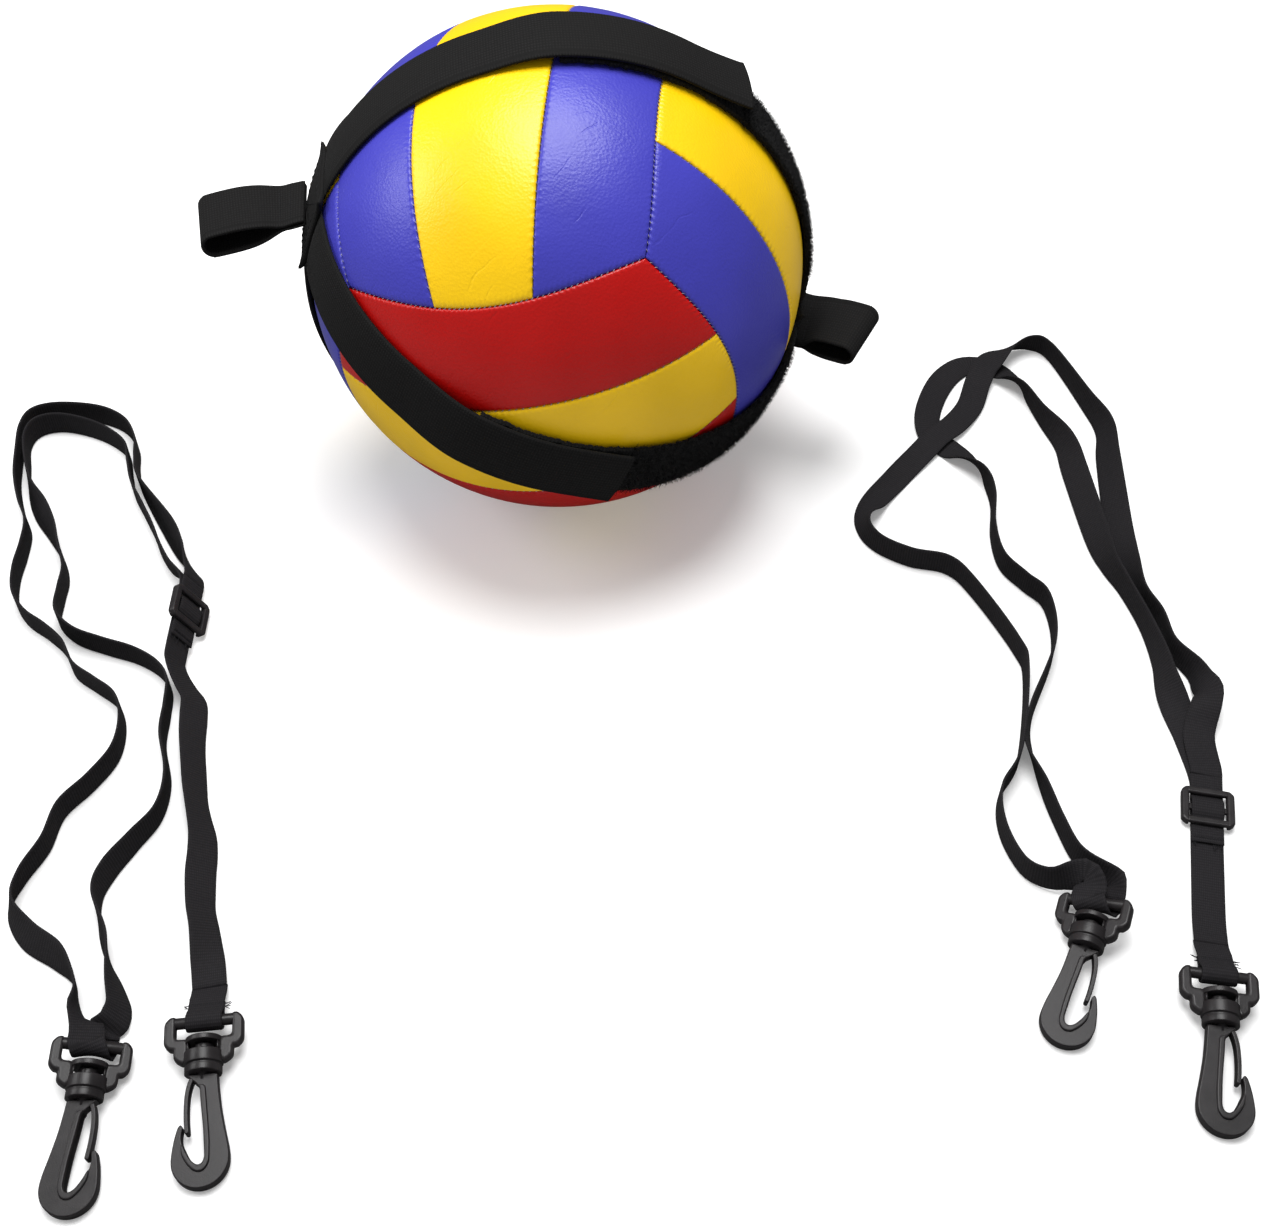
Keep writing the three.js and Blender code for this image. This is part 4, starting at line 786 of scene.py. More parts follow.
def seam_stitches(normal, across):
    forms = []
    for edge in STRIP_EDGES:
        for i in range(1, STITCHES_PER_SEAM):
            along = -FACE_HALF_DEG + 2 * FACE_HALF_DEG * i / STITCHES_PER_SEAM
            away = panel_direction(normal, across, edge, along)
            ahead = (panel_direction(normal, across, edge, along + 0.5) - away).normalized()
            way = (ahead * 0.8 + away.cross(ahead) * 0.6).normalized()
            out = BALL_TURN @ away
            middle = BALL_CENTRE + out * (BALL_RADIUS - STITCH_DEPTH)
            forms.append(stitch_form(middle, BALL_TURN @ way, out, STITCH_HALF_LENGTH, STITCH_RADIUS))
    return forms


for face, (normal, across, _) in FACES.items():
    piece = add_piece(f"stitches_{face}", *joined(seam_stitches(normal, across)))
    dress(piece, PALE_THREAD, "blue_leather", "root")
print("stitches in each seam:", STITCHES_PER_SEAM - 1)

# %% [markdown]
# ## Materials: webbing
# Three black cloths lie side by side here, and only their weave tells them apart. The smooth arms are
# ribbed tape, the other arms are the soft loop side of hook-and-loop, and the ropes are elastic with fine
# ribs across. The ribs come from waves on the weave coordinates, which run along each strap.

# %% Webbing
def webbing(name, colour, across_ribs, along_ribs, height, fuzz=0.0):
    """Ribs per metre across and along the strap, their height, and how deep the fuzz is."""
    material, nodes, link, shader = new_material(name)
    coordinates = nodes.new("ShaderNodeTexCoord")
    weave, place = coordinates.outputs["UV"], coordinates.outputs["Object"]
    ribs = wave_of(nodes, link, weave, "Y", across_ribs)
    threads = wave_of(nodes, link, weave, "X", along_ribs)
    lint = noise_of(nodes, link, place, scale=900, detail=4, roughness=0.7)
    patches = noise_of(nodes, link, place, scale=60, detail=2)
    mixed = node_math(nodes, link, "MULTIPLY", ribs, threads)
    shade = node_math(nodes, link, "MULTIPLY", node_math(nodes, link, "ADD", lint, mixed), 0.6)
    dyed = two_colours(nodes, link, shade, colour, tuple(c * 1.8 for c in colour), low=0.3, high=0.8)
    relief = bump_of(nodes, link, lint, distance=0.0003 + fuzz, strength=0.5)
    relief = bump_of(nodes, link, mixed, distance=height, strength=0.8, under=relief)
    finish(link, shader, dyed, roughness_of(nodes, link, patches, 0.62, 0.85), relief, shine=0.07)
    shader.inputs["Sheen Weight"].default_value = 0.03 if fuzz else 0.01
    shader.inputs["Sheen Roughness"].default_value = 0.5
    return material


SMOOTH_WEB = webbing("smooth_webbing", (0.0082, 0.008, 0.008), 900, 620, height=0.00016)
FUZZY_WEB = webbing("fuzzy_webbing", (0.0055, 0.0055, 0.0056), 700, 500, height=0.0002, fuzz=0.0007)
ELASTIC_WEB = webbing("elastic_webbing", (0.0135, 0.0127, 0.014), 850, 1400, height=0.00013)
for rope in ROPES:
    rope.data.materials.append(ELASTIC_WEB)
print("ropes finished:", [rope.name for rope in ROPES])

# %% [markdown]
# ## The harness arms
# Four arms leave each pole of the harness and meet round the ball's middle. The left ones end in flaps that
# press on to the fluffy right ones. A strap bends easily along its length and hardly across, so each arm
# follows a great circle. Its section is swept along that circle.

# %% The harness's measures
HARNESS_TURN = turned((-38.7, 12.93, -163.97))
STRAP_WIDTH = 0.030
SMOOTH_THICKNESS = 0.0018
LOOP_THICKNESS = 0.0026
LOOP_FRAY = 0.00018
STRAP_SEAT = 0.10571
FLAP_SEAT = STRAP_SEAT + LOOP_THICKNESS + CLEARANCE
ARM_START = 11.2
# Each arm's direction round the pole, and where its flap starts and ends, in degrees.
ARMS = {"top": (54.7, 72, 114), "front": (-46.3, 70, 104), "back": (141, 72, 104), "bottom": (234.2, 60, 92)}
# Angle from the pole and share of the thickness, where a strap is pressed flat under the patch.
UNDER_PATCH = ((7.5, 0.15), (9.7, 0.2), (10.6, 0.55))
FLAP_STANDS_OFF = {"top": 0.0046, "front": 0.0022, "back": 0.001, "bottom": 0.0004}
FREE_END_DEG = 13
HINGE_EASE_DEG = 2.5
RAMP_DEG = 18


# %% Arms
def strap_direction(longitude, from_pole, across):
    lon, angle = math.radians(longitude), math.radians(from_pole)
    middle = Vector((0, math.cos(lon), math.sin(lon)))
    side = Vector((0, -math.sin(lon), math.cos(lon)))
    centre = Vector((math.cos(angle), 0, 0)) + middle * math.sin(angle)
    return HARNESS_TURN @ (centre * math.cos(across) + side * math.sin(across))


def arm_piece(name, longitude, stations, thickness, fray=0.0, seed=1):
    """stations are (angle from the pole, radius of the underside, share of the full thickness)."""
    section, around = flat_section(STRAP_WIDTH, thickness, 14 if fray else 10, 4)
    rng = np.random.default_rng(seed)
    rings = []
    for angle, seat, share in stations:
        lift = seat + thickness / 2
        frayed = {edge: float(rng.normal()) * fray * 1.5 for edge in (1, -1)}
        ring = []
        for a, h in section:
            rough = float(rng.normal()) * fray
            across = a + (2 * a / STRAP_WIDTH) ** 4 * frayed[1 if a > 0 else -1]
            away = strap_direction(longitude, angle, across / BALL_RADIUS)
            ring.append(BALL_CENTRE + away * (lift + h * share + rough))
        rings.append(ring)
    along = [math.radians(angle - stations[0][0]) * BALL_RADIUS for angle, _, _ in stations]
    return sweep_reversed(name, rings, around, along)


def steps(start, end, seat, step=1.0):
    count = max(2, round(abs(end - start) / step))
    return [(start + (end - start) * i / count, seat, 1.0) for i in range(count + 1)]


def rounded_end(stations):
    """Stations whose last one is a cut end with soft edges."""
    angle, seat, _ = stations[-1]
    return [*stations[:-1], (angle - 0.25, seat, 1.0), (angle, seat, 0.55)]


def smooth_strap_stations(arm, hinge, flap_end):
    """Seats along one smooth strap: on the ball, up a ramp on to the fluffy strap, and off it at the end."""
    stations = [(angle, STRAP_SEAT, share) for angle, share in UNDER_PATCH]
    stations += steps(ARM_START, hinge - RAMP_DEG, STRAP_SEAT)
    for i in range(1, RAMP_DEG):
        rise = (FLAP_SEAT - STRAP_SEAT) * soft(i / RAMP_DEG)
        stations.append((hinge - RAMP_DEG + i, STRAP_SEAT + rise, 1.0))
    for angle, seat, share in steps(hinge, flap_end, FLAP_SEAT, 0.8):
        lift = max(0, 1 - (flap_end - angle) / FREE_END_DEG) ** 2 * FLAP_STANDS_OFF[arm]
        stations.append((angle, seat + lift, share))
    return rounded_end(stations)


def fluffy_strap_stations(hinge):
    """Seats along one fluffy strap, from under the flap to under the other pole's patch."""
    stations = steps(hinge, 180 - ARM_START, STRAP_SEAT, 0.5)
    return stations + [(180 - angle, STRAP_SEAT, share) for angle, share in reversed(UNDER_PATCH)]


def at_hinge(longitude, angle):
    return tuple(BALL_CENTRE + strap_direction(longitude, angle, 0) * FLAP_SEAT)


for arm, (longitude, hinge, flap_end) in ARMS.items():
    stations = smooth_strap_stations(arm, hinge, flap_end)
    piece = arm_piece(f"smooth_strap_{arm}", longitude, stations, SMOOTH_THICKNESS)
    dress(piece, SMOOTH_WEB, "nylon_webbing", None, f"smooth_arm_{arm}", f"flap_{arm}")
    start = at_hinge(longitude, hinge - HINGE_EASE_DEG)
    end = at_hinge(longitude, hinge + HINGE_EASE_DEG)
    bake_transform(piece)
    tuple(start)
    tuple(end)
    stations = fluffy_strap_stations(hinge)
    piece = arm_piece(f"fluffy_strap_{arm}", longitude, stations, LOOP_THICKNESS, LOOP_FRAY, seed=7)
    for vertex in piece.data.vertices:
        vertex.co.z = max(vertex.co.z, 0.0)
    dress(piece, FUZZY_WEB, "fuzzy_webbing", "root", f"loop_arm_{arm}")
print("arms:", list(ARMS))

# %% [markdown]
# ## Fluff
# The loop side of hook-and-loop is a pile of tiny thread loops, which open into a fluffy edge with use.
# Bump alone can't change the strap's outline, so real fibres stand on it. Hair would not be exported, so
# each fibre is a very thin bent cone, and all those of one strap are one mesh.

# %% Fibres
FIBRES_PER_ARM = 6000
FIBRE_WIDTH = 0.00009
FIBRE_REACH = (0.0008, 0.0024)
FIBRE_FACES = [(0, 1, 4, 3), (1, 2, 5, 4), (2, 0, 3, 5), (3, 4, 6), (4, 5, 6), (5, 3, 6), (2, 1, 0)]
EDGE_SPREAD = 1.35
BARE_DEG = (0.4, 6)


def fibre_form(root, outward, lean, reach):
    """A thin bent cone from its root along outward, leaning over towards its tip."""
    ahead = outward.normalized()
    side = ahead.orthogonal().normalized()
    points = []
    for t, share in ((-0.15, 1.0), (0.5, 0.8)):
        middle = root + outward * (reach * t) + lean * (reach * t * t)
        points += circle(middle, side, ahead.cross(side), FIBRE_WIDTH * share, 3)
    return [*points, root + outward * reach + lean * reach], FIBRE_FACES


def fluff(arm, longitude, first, last, seed):
    """Fibres at random places on a strap's face, and on its edges where the draw goes past them."""
    rng = np.random.default_rng(seed)
    half = STRAP_WIDTH / 2 / BALL_RADIUS
    forms = []
    for _ in range(FIBRES_PER_ARM):
        angle = float(rng.uniform(first, last))
        sideways = float(rng.uniform(-EDGE_SPREAD, EDGE_SPREAD))
        on_edge = abs(sideways) > 1
        across = half * (math.copysign(0.985, sideways) if on_edge else sideways)
        seat = STRAP_SEAT + LOOP_THICKNESS * (float(rng.uniform(0.15, 0.95)) if on_edge else 1.0)
        away = strap_direction(longitude, angle, across)
        beside = (strap_direction(longitude, angle, across + 0.01) - away).normalized()
        ahead = (strap_direction(longitude, angle + 0.5, across) - away).normalized()
        outward = away
        if on_edge:
            outward = (beside * math.copysign(1, sideways) + away * 0.35).normalized()
        lean = ahead * float(rng.normal()) * 0.7 + beside * float(rng.normal()) * 0.7
        form = fibre_form(BALL_CENTRE + away * seat, outward, lean, float(rng.uniform(*FIBRE_REACH)))
        if min(p.z for p in form[0]) >= 0.0001:
            forms.append(form)
    return add_piece(f"fluff_{arm}", *joined(forms))


FLUFF = thread_material("fluff_fibre", (0.012, 0.012, 0.013))
for seed, (arm, (longitude, _, flap_end)) in enumerate(ARMS.items()):
    first, last = flap_end + BARE_DEG[0], 180 - ARM_START - BARE_DEG[1]
    piece = dress(fluff(arm, longitude, first, last, 20 + seed), FLUFF, "fuzzy_webbing", "root")
    print(piece.name, "faces", len(piece.data.polygons))

# %% [markdown]
# ## The patches at the poles
# At each pole the four arms meet under one square of webbing, and the tab is sewn on top of it. The patch
# is a padded grid like the panels. Webbing is stiff, so its corners stand off the ball a little. A box with
# a cross in it is the usual seam for a strap that is pulled, so the stitches follow that.

# %% Pole patches
PATCH_TURN = Matrix.Rotation(math.radians(49), 3, "X")
PATCH_HALF = 0.018
PATCH_EDGE, PATCH_EDGE_DROP = 0.0012, 0.0009
CORNER_LIFT = 0.003
SEAM_HALF = 0.0148
SEAM_SEAT = STRAP_SEAT + LOOP_THICKNESS + 0.00012
SEAM_CORNERS = [(-1, -1), (1, -1), (1, 1), (-1, 1), (-1, -1), (1, 1), (1, -1), (-1, 1)]
SEAM_PARTS = 8
BLACK_STITCH_RADIUS = 0.00018


def at_pole(side, a, b, radius):
    """A place above a pole's patch, at two angles in radians from its middle."""
    away = Vector((side, math.tan(a), math.tan(b))).normalized()
    return BALL_CENTRE + HARNESS_TURN @ (PATCH_TURN @ away) * radius


def patch_piece(name, side):
    """A square of webbing at a pole, on which four arms and a tab are sewn. Its stiff corners stand off."""
    half = PATCH_HALF / BALL_RADIUS

    def place_of(layer, s, t):
        edge = min(s, 1 - s, t, 1 - t) * 2 * PATCH_HALF
        drop = PATCH_EDGE_DROP * max(0, 1 - edge / PATCH_EDGE) ** 2
        lift = CORNER_LIFT * ((2 * s - 1) * (2 * t - 1)) ** 4
        radius = STRAP_SEAT + lift + (drop * 0.6 if layer else LOOP_THICKNESS - drop)
        return at_pole(side, half * (2 * s - 1), side * half * (2 * t - 1), radius)

    shares = eased(8, [0.02, 0.05])
    return padded_grid(name, shares, shares, place_of, size=2 * PATCH_HALF)


def sewn_row(points, outward, pitch, half_length):
    """Stitches one after another on a line of corner points, with a way out of the cloth at each place."""
    forms = []
    for start, end in zip(points, points[1:]):
        gap = end - start
        count = max(1, round(gap.length / pitch))
        for i in range(count):
            middle = start + gap * ((i + 0.5) / count)
            way, out = gap.normalized(), outward(middle)
            forms.append(stitch_form(middle, way, out, half_length, BLACK_STITCH_RADIUS))
    return forms


def patch_seams(side):
    """A box with a cross in it, sewn through the patch."""
    reach = SEAM_HALF / BALL_RADIUS
    forms = []
    for (a, b), (c, d) in zip(SEAM_CORNERS, SEAM_CORNERS[1:]):
        places = []
        for i in range(SEAM_PARTS + 1):
            y, z = a + (c - a) * i / SEAM_PARTS, b + (d - b) * i / SEAM_PARTS
            places.append(at_pole(side, y * reach, side * z * reach, SEAM_SEAT))
        forms += sewn_row(places, lambda p: (p - BALL_CENTRE).normalized(), pitch=0.0027, half_length=0.0011)
    return forms


for name, side in (("left", 1), ("right", -1)):
    dress(patch_piece(f"patch_{name}", side), SMOOTH_WEB, "nylon_webbing", "root", f"pole_patch_{name}")
    seams = sewn_piece(f"patch_{name}_seams", patch_seams(side), "root", "nylon_webbing")
    print("patch at the", name, "pole, faces in its seams:", len(seams.data.polygons))

# %% [markdown]
# ## The pull tabs
# A tab is one strap folded over on itself and sewn shut at the root. It stays open and round at the outer
# end, so a hook or a finger goes through. The path of the fold is swept like any strap, and each place on
# it is turned a little, because the sewn root lies along the ball while the free end hangs level.

# %% Tabs
TAB_LAYER = 0.0016
TAB_ROOT = TAB_LAYER + CLEARANCE / 2
TAB_SEAM = 0.009
TAB_SEAM_HALF = 0.013
TAB_OPENING = 0.004
TAB_SEAT = STRAP_SEAT + LOOP_THICKNESS + CLEARANCE + TAB_ROOT
# Each tab's side, its length, and how far it droops and turns aside, in degrees.
TABS = {"left": (1, 0.043, 8, -12), "right": (-1, 0.037, -5, 28)}


def tab_path(length):
    """The middle line of the folded strap from the top of the root to the bottom of the root."""
    layer = TAB_LAYER / 2
    bend = TAB_OPENING + layer
    middle, end = (TAB_SEAM + length) / 2, length - TAB_OPENING - TAB_LAYER
    flat = TAB_ROOT - layer
    upper = [(-0.0012, flat * 0.75), (0.0, flat), (TAB_SEAM * 0.5, flat), (TAB_SEAM, flat * 1.02)]
    upper += [((TAB_SEAM + middle) / 2, TAB_OPENING * 0.7 + layer), (middle, bend), (end, bend)]
    for angle in (65, 40, 15):
        turn = math.radians(angle)
        upper.append((end + bend * math.cos(turn), bend * math.sin(turn)))
    lower = [(x, -z) for x, z in reversed(upper)]
    return smooth_line(upper + lower, 0.0012)


def tab_rings(side, length, droop_deg, yaw_deg, path, section):
    """Rings of points along the fold, and the way out of the cloth at each."""
    droop, yaw = math.radians(droop_deg), math.radians(yaw_deg)
    pole = BALL_CENTRE + HARNESS_TURN @ Vector((side * TAB_SEAT, 0, 0))
    out = Vector((-side * math.cos(droop), 0, -math.sin(droop)))
    along = out * math.cos(yaw) + AXIS_Y * side * math.sin(yaw)
    sheet_normal = out.cross(AXIS_Y) * -side
    end_across = along.cross(sheet_normal).normalized()
    away = (pole - BALL_CENTRE).normalized()
    root_across = (end_across - away * end_across.dot(away)).normalized()
    rings, ways = [], []
    for i, (x, z) in enumerate(path):
        ahead = ahead_at(path, i)
        dx, dz = ahead / np.linalg.norm(ahead)
        turn = min(max(2 * x / length, 0), 1)
        across = root_across.lerp(end_across, turn).normalized()
        up = along.cross(across).normalized()
        rings.append([pole + along * (x - h * dz) + across * a + up * (z + h * dx) for a, h in section])
        ways.append(up * float(dx) - along * float(dz))
    return rings, ways


def tab_piece(name, *values):
    path = tab_path(values[1])
    section, around = flat_section(STRAP_WIDTH, TAB_LAYER, 10, 3)
    rings, _ = tab_rings(*values, path, section)
    return sweep_reversed(name, rings, around, lengths([Vector((x, 0, z)) for x, z in path]))


def tab_seams(*values):
    """Two rows of stitches across the root, on both sides of the fold."""
    path = tab_path(values[1])
    outside = TAB_LAYER / 2 + 0.00008
    section = [(TAB_SEAM_HALF * t, outside) for t in (-1, -0.5, 0, 0.5, 1)]
    rings, ways = tab_rings(*values, path, section)
    forms = []
    for row in (TAB_SEAM * 0.45, TAB_SEAM * 0.95):
        for half in (path[:, 1] > 0, path[:, 1] < 0):
            place = int(np.argmin(np.abs(path[:, 0] - row) + np.where(half, 0, 1)))
            forms += sewn_row(rings[place], lambda p: ways[place], pitch=0.0026, half_length=0.001)
    return forms


for name, values in TABS.items():
    body = f"tab_{name}"
    tab = dress(tab_piece(f"pull_tab_{name}", *values), SMOOTH_WEB, "nylon_webbing", body, body)
    sewn_piece(f"pull_tab_{name}_seams", tab_seams(*values), body, "nylon_webbing")
    print(tab.name, "reaches", values[1], "m, faces", len(tab.data.polygons))

# %% [markdown]
# ## Moulded plastic
# The hooks, rings and sliders come out of a mould. Their faces are satin, with a very fine texture, and no
# edge of them is sharp, because a sharp edge would tear in the mould. Each form is drawn again here with
# smooth outlines and rounded edges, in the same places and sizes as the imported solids.

# %% Plastic and rubber
def plastic(name, colour, rough):
    material, nodes, link, shader = new_material(name)
    place = nodes.new("ShaderNodeTexCoord").outputs["Object"]
    grain = noise_of(nodes, link, place, scale=2400)
    patches = noise_of(nodes, link, place, scale=130)
    dyed = two_colours(nodes, link, patches, colour, tuple(c * 1.5 for c in colour))
    relief = bump_of(nodes, link, grain, distance=0.00008, strength=0.5)
    finish(link, shader, dyed, roughness_of(nodes, link, patches, rough, rough + 0.14), relief, shine=0.3)
    return material


BLACK_PLASTIC = plastic("black_plastic", (0.0145, 0.013, 0.0138), 0.3)
BLACK_RUBBER = plastic("black_rubber", (0.008, 0.008, 0.008), 0.55)
for name in ("bladder", "valve"):
    NODES[name].data.materials.clear()
    NODES[name].data.materials.append(BLACK_RUBBER)
print("materials:", len(bpy.data.materials))


# %% Rounded forms, in millimetres
MM_PER_METRE = 1000


def softened(corners, radius, closed=True, steps=4):
    """An outline with an arc for each corner, of the corner's own radius where it has a third number."""
    out = []
    count = len(corners)
    for i, (x, y, *own) in enumerate(corners):
        here = Vector((x, y))
        if not closed and i in (0, count - 1):
            out.append(tuple(here))
            continue
        before, after = Vector(corners[i - 1][:2]), Vector(corners[(i + 1) % count][:2])
        room = min((before - here).length, (after - here).length) / 2.02
        reach = min(own[0] if own else radius, room)
        start = here + (before - here).normalized() * reach
        end = here + (after - here).normalized() * reach
        for k in range(steps + 1):
            t = k / steps
            out.append(tuple(start * (1 - t) ** 2 + here * (2 * t * (1 - t)) + end * t**2))
    return out


def inset_outline(corners, distance):
    """The same anticlockwise outline, moved inwards."""
    moved = []
    for i, corner in enumerate(corners):
        here = Vector(corner[:2])
        first = (here - Vector(corners[i - 1][:2])).normalized()
        second = (Vector(corners[(i + 1) % len(corners)][:2]) - here).normalized()
        inward = Vector((-first.y - second.y, first.x + second.x)).normalized()
        open_share = max(0.6, inward.dot(Vector((-first.y, first.x))))
        moved.append((*(here + inward * (distance / open_share)), *corner[2:]))
    return moved


def rounded_plate(corners, bottom, top, radius, corner_radius, steps=4):
    """A plate with arcs for corners, and with its upper and lower edges rounded."""
    area = sum(p[0] * q[1] - p[1] * q[0] for p, q in zip(corners, corners[1:] + corners[:1]))
    if area < 0:
        corners = corners[::-1]
    quarter = [math.pi / 2 * i / steps for i in range(steps + 1)]
    levels = [(radius * (1 - math.sin(a)), bottom + radius * (1 - math.cos(a))) for a in quarter]
    levels += [(inset, bottom + top - z) for inset, z in reversed(levels)]
    points = []
    for inset, z in levels:
        outline = softened(inset_outline(corners, inset), corner_radius)
        points += [(x, y, z) for x, y in outline]
    return points, tube_faces(len(levels), len(outline))


def turned_form(profile, closed=False, sides=40):
    """A profile of (x, radius) turned about the x axis. A closed profile makes a ring."""
    points = []
    for x, radius in profile:
        points += circle(AXIS_X * x, AXIS_Y, AXIS_Z, radius, sides)
    return points, tube_faces(len(profile), sides, closed)


def mirrored(form):
    points, faces = form
    return [(x, -y, z) for x, y, z in points], [face[::-1] for face in faces]


def plastic_piece(name, forms, place, node, body):
    """Forms in millimetres, set in their place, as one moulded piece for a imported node."""
    points, faces = joined(forms)
    piece = add_piece(name, [place @ (Vector(p) / MM_PER_METRE) for p in points], faces)
    for face in piece.data.polygons:
        face.use_smooth = len(face.vertices) < 6
    return dress(piece, BLACK_PLASTIC, "black_plastic", body, node)


# %% [markdown]
# ## Swivel rings
# A ring has a round bar for the ribbon, two arms, and a short barrel. A window between the arms and the
# barrel shows the head of the hook's shank, which turns inside. Collar and barrel are turned forms, as from
# a lathe, and each arm is a rounded plate that runs into them.

# %% Rings
RING_ARM = [(-2.1, 10), (6.5, 10), (6.5, 5.4), (13, 5.4), (16.5, 6.6), (14, 10.5), (10.4, 10.5)]
RING_ARM += [(10.4, 12), (8.3, 14.1), (0, 14.1), (-2.1, 12)]
COLLAR = [(6.5, 5.9), (6.5, 6.6), (8.5, 6.6), (8.5, 5.9)]
BARREL = [(11.7, 2.75), (11.7, 7), (16.3, 7), (16.3, 6.2), (17.2, 6.2)]
BARREL += [(17.2, 6.65), (19.7, 6.65), (19.7, 2.75)]
POST_RADIUS, POST_FLAT, POST_ENDS = 6.2, 5.2, (8.3, 11.9)
HOOK_NAMES = ("left_turn", "left_end", "right_turn", "right_end")


def axes_at(middle, ahead, across):
    place = Matrix.Identity(4)
    for column, way in enumerate((ahead, across, ahead.cross(across), middle)):
        place.col[column][:3] = way
    return place


def bar_form(radius, half_length):
    """A round bar that lies across, with soft ends."""
    ends = [(-half_length, radius * 0.8), (-half_length, radius)]
    profile = ends + [(-x, r) for x, r in reversed(ends)]
    points, faces = turned_form(softened(profile, radius * 0.2, closed=False), sides=32)
    return [(-y, x, z) for x, y, z in points], faces


def post_form():
    """One of the two posts beside the window, a slice of a round tube."""
    half_angle = math.acos(POST_FLAT / POST_RADIUS)
    angles = [half_angle * t / 4 for t in range(-4, 5)]
    points = [(x, POST_RADIUS * math.cos(a), POST_RADIUS * math.sin(a)) for x in POST_ENDS for a in angles]
    return points, tube_faces(2, len(angles))


def ring_forms():
    arm = rounded_plate(RING_ARM, -2.3, 2.3, 1.1, 1.6)
    post = post_form()
    collar = turned_form(softened(COLLAR, 0.4, closed=False))
    barrel = turned_form(softened(BARREL, 0.4), closed=True)
    return [arm, mirrored(arm), post, mirrored(post), collar, barrel, bar_form(2.1, 11)]


for name in HOOK_NAMES:
    middle, across, _, _ = bar_axes(name)
    place = axes_at(middle, joint_way(f"{name}_swivel"), across)
    ring = plastic_piece(f"{name}_moulded_ring", ring_forms(), place, f"{name}_ring", f"{name}_ring")
    print(ring.name, "faces", len(ring.data.polygons))

# %% [markdown]
# ## Snap hooks and their gates
# The hook is a flat claw with a raised rim round its throat, and a thin tongue closes it by its own spring.
# Its outline is a list of corners, given as shares of the hook's length and half width. Arcs that meet in
# the middle of each side turn these few corners into one flowing curve.

# %% Hooks
HOOK_START, HOOK_LENGTH, HOOK_HALF = 20.1, 40, 10
OUTER_BACK = [(0.09, -0.56), (0.3, -0.66), (0.5, -0.82), (0.64, -0.95)]
NOSE = [(0.66, 0.97), (0.56, 0.91), (0.46, 0.8), (0.43, 0.7), (0.46, 0.61), (0.53, 0.66), (0.59, 0.64)]
THROAT = [(0.7, 0.44), (0.77, 0.25), (0.8, 0.08), (0.79, -0.08), (0.74, -0.16), (0.5, -0.1), (0.25, 0.02)]
THROAT += [(0.13, 0.06), (0.09, 0.16)]
RIM = [(0.69, 0.66), (0.79, 0.44), (0.86, 0.16), (0.86, -0.14), (0.79, -0.34), (0.6, -0.34), (0.25, -0.2)]
RIM += [(0.1, -0.14)]
SHANK = [(9, 2.6), (9, 3.3), (11.2, 3.3), (11.2, 2.3), (22, 2.3)]
GATE = [(0.03, 0.36), (0.09, 0.45), (0.17, 0.515), (0.28, 0.535), (0.4, 0.52), (0.52, 0.47)]
GATE_HALF = 0.8


def on_hook(shares):
    return [(HOOK_START + a * HOOK_LENGTH, b * HOOK_HALF) for a, b in shares]


def hook_forms():
    outline = [(HOOK_START, 5.3, 0.6), (HOOK_START, -5.3, 0.8), *on_hook(OUTER_BACK)]
    centre = HOOK_START + HOOK_LENGTH - HOOK_HALF
    for i in range(13):
        angle = math.pi * (-0.52 + 1.02 * i / 12)
        outline.append((centre + HOOK_HALF * math.cos(angle), HOOK_HALF * math.sin(angle)))
    outline += on_hook(NOSE + THROAT) + [(HOOK_START + 2.65, 2.65)]
    plate = rounded_plate(outline, -2.25, 2.25, 0.45, 3)
    band = rounded_plate(on_hook(NOSE[-1:] + THROAT) + on_hook(RIM)[::-1], -3.1, 3.1, 0.6, 3)
    return [plate, band, turned_form(softened(SHANK, 0.3, closed=False), sides=32)]


def gate_forms():
    line = np.array(on_hook(GATE))
    outward, inward = [], []
    for i, (x, y) in enumerate(line):
        ahead = Vector(ahead_at(line, i)).normalized()
        outward.append((x - ahead.y * GATE_HALF, y + ahead.x * GATE_HALF))
        inward.append((x + ahead.y * GATE_HALF, y - ahead.x * GATE_HALF))
    return [rounded_plate(inward + outward[::-1], -2.2, 2.2, 0.4, 2)]


for name in HOOK_NAMES:
    ahead, upward = joint_way(f"{name}_swivel"), -joint_way(f"{name}_gate_hinge")
    place = axes_at(joint_place(f"{name}_ring_pivot"), ahead, upward.cross(ahead))
    plastic_piece(f"{name}_moulded_hook", hook_forms(), place, f"{name}_hook", f"{name}_hook")
    plastic_piece(f"{name}_sprung_gate", gate_forms(), place, f"{name}_gate", f"{name}_gate")
print("hooks:", len(HOOK_NAMES))

# %% [markdown]
# ## Sliders and the ribbon woven through them
# A slider has two rails and three bars. The ribbon comes in under the first bar, goes over the middle one
# and out under the last, so that friction holds it where it is set. It follows a soft line through the
# bars, because a tight ribbon never makes a sharp corner.

# %% Sliders
RAIL = [(-8.5, 7.35), (8.5, 7.35), (8.5, 8.6), (6.8, 10.35), (-6.8, 10.35), (-8.5, 8.6)]
# Where each bar starts and ends, with its underside and its top.
BARS = [(-8.5, -5.7, 2.25, 4.25), (-1.4, 1.4, 0.85, 2.55), (5.7, 8.5, 2.25, 4.25)]
BAR_HALF = 8.2
# Each slider's heading and its roll, in degrees.
SLIDER_SETTINGS = {"left": (-90, -60), "right": (-101, 0)}
WOVEN_LINE = [(-16.4, 1.4), (-12, 1.4), (-8.5, 1.4), (-6, 1.42), (-4.5, 1.9), (-3.2, 2.9), (-1.9, 3.4)]
WOVEN_LINE += [(0, 3.45), (1.9, 3.4), (3.2, 2.9), (4.5, 1.9), (6, 1.42), (8.5, 1.4), (12, 1.4), (16, 1.4)]


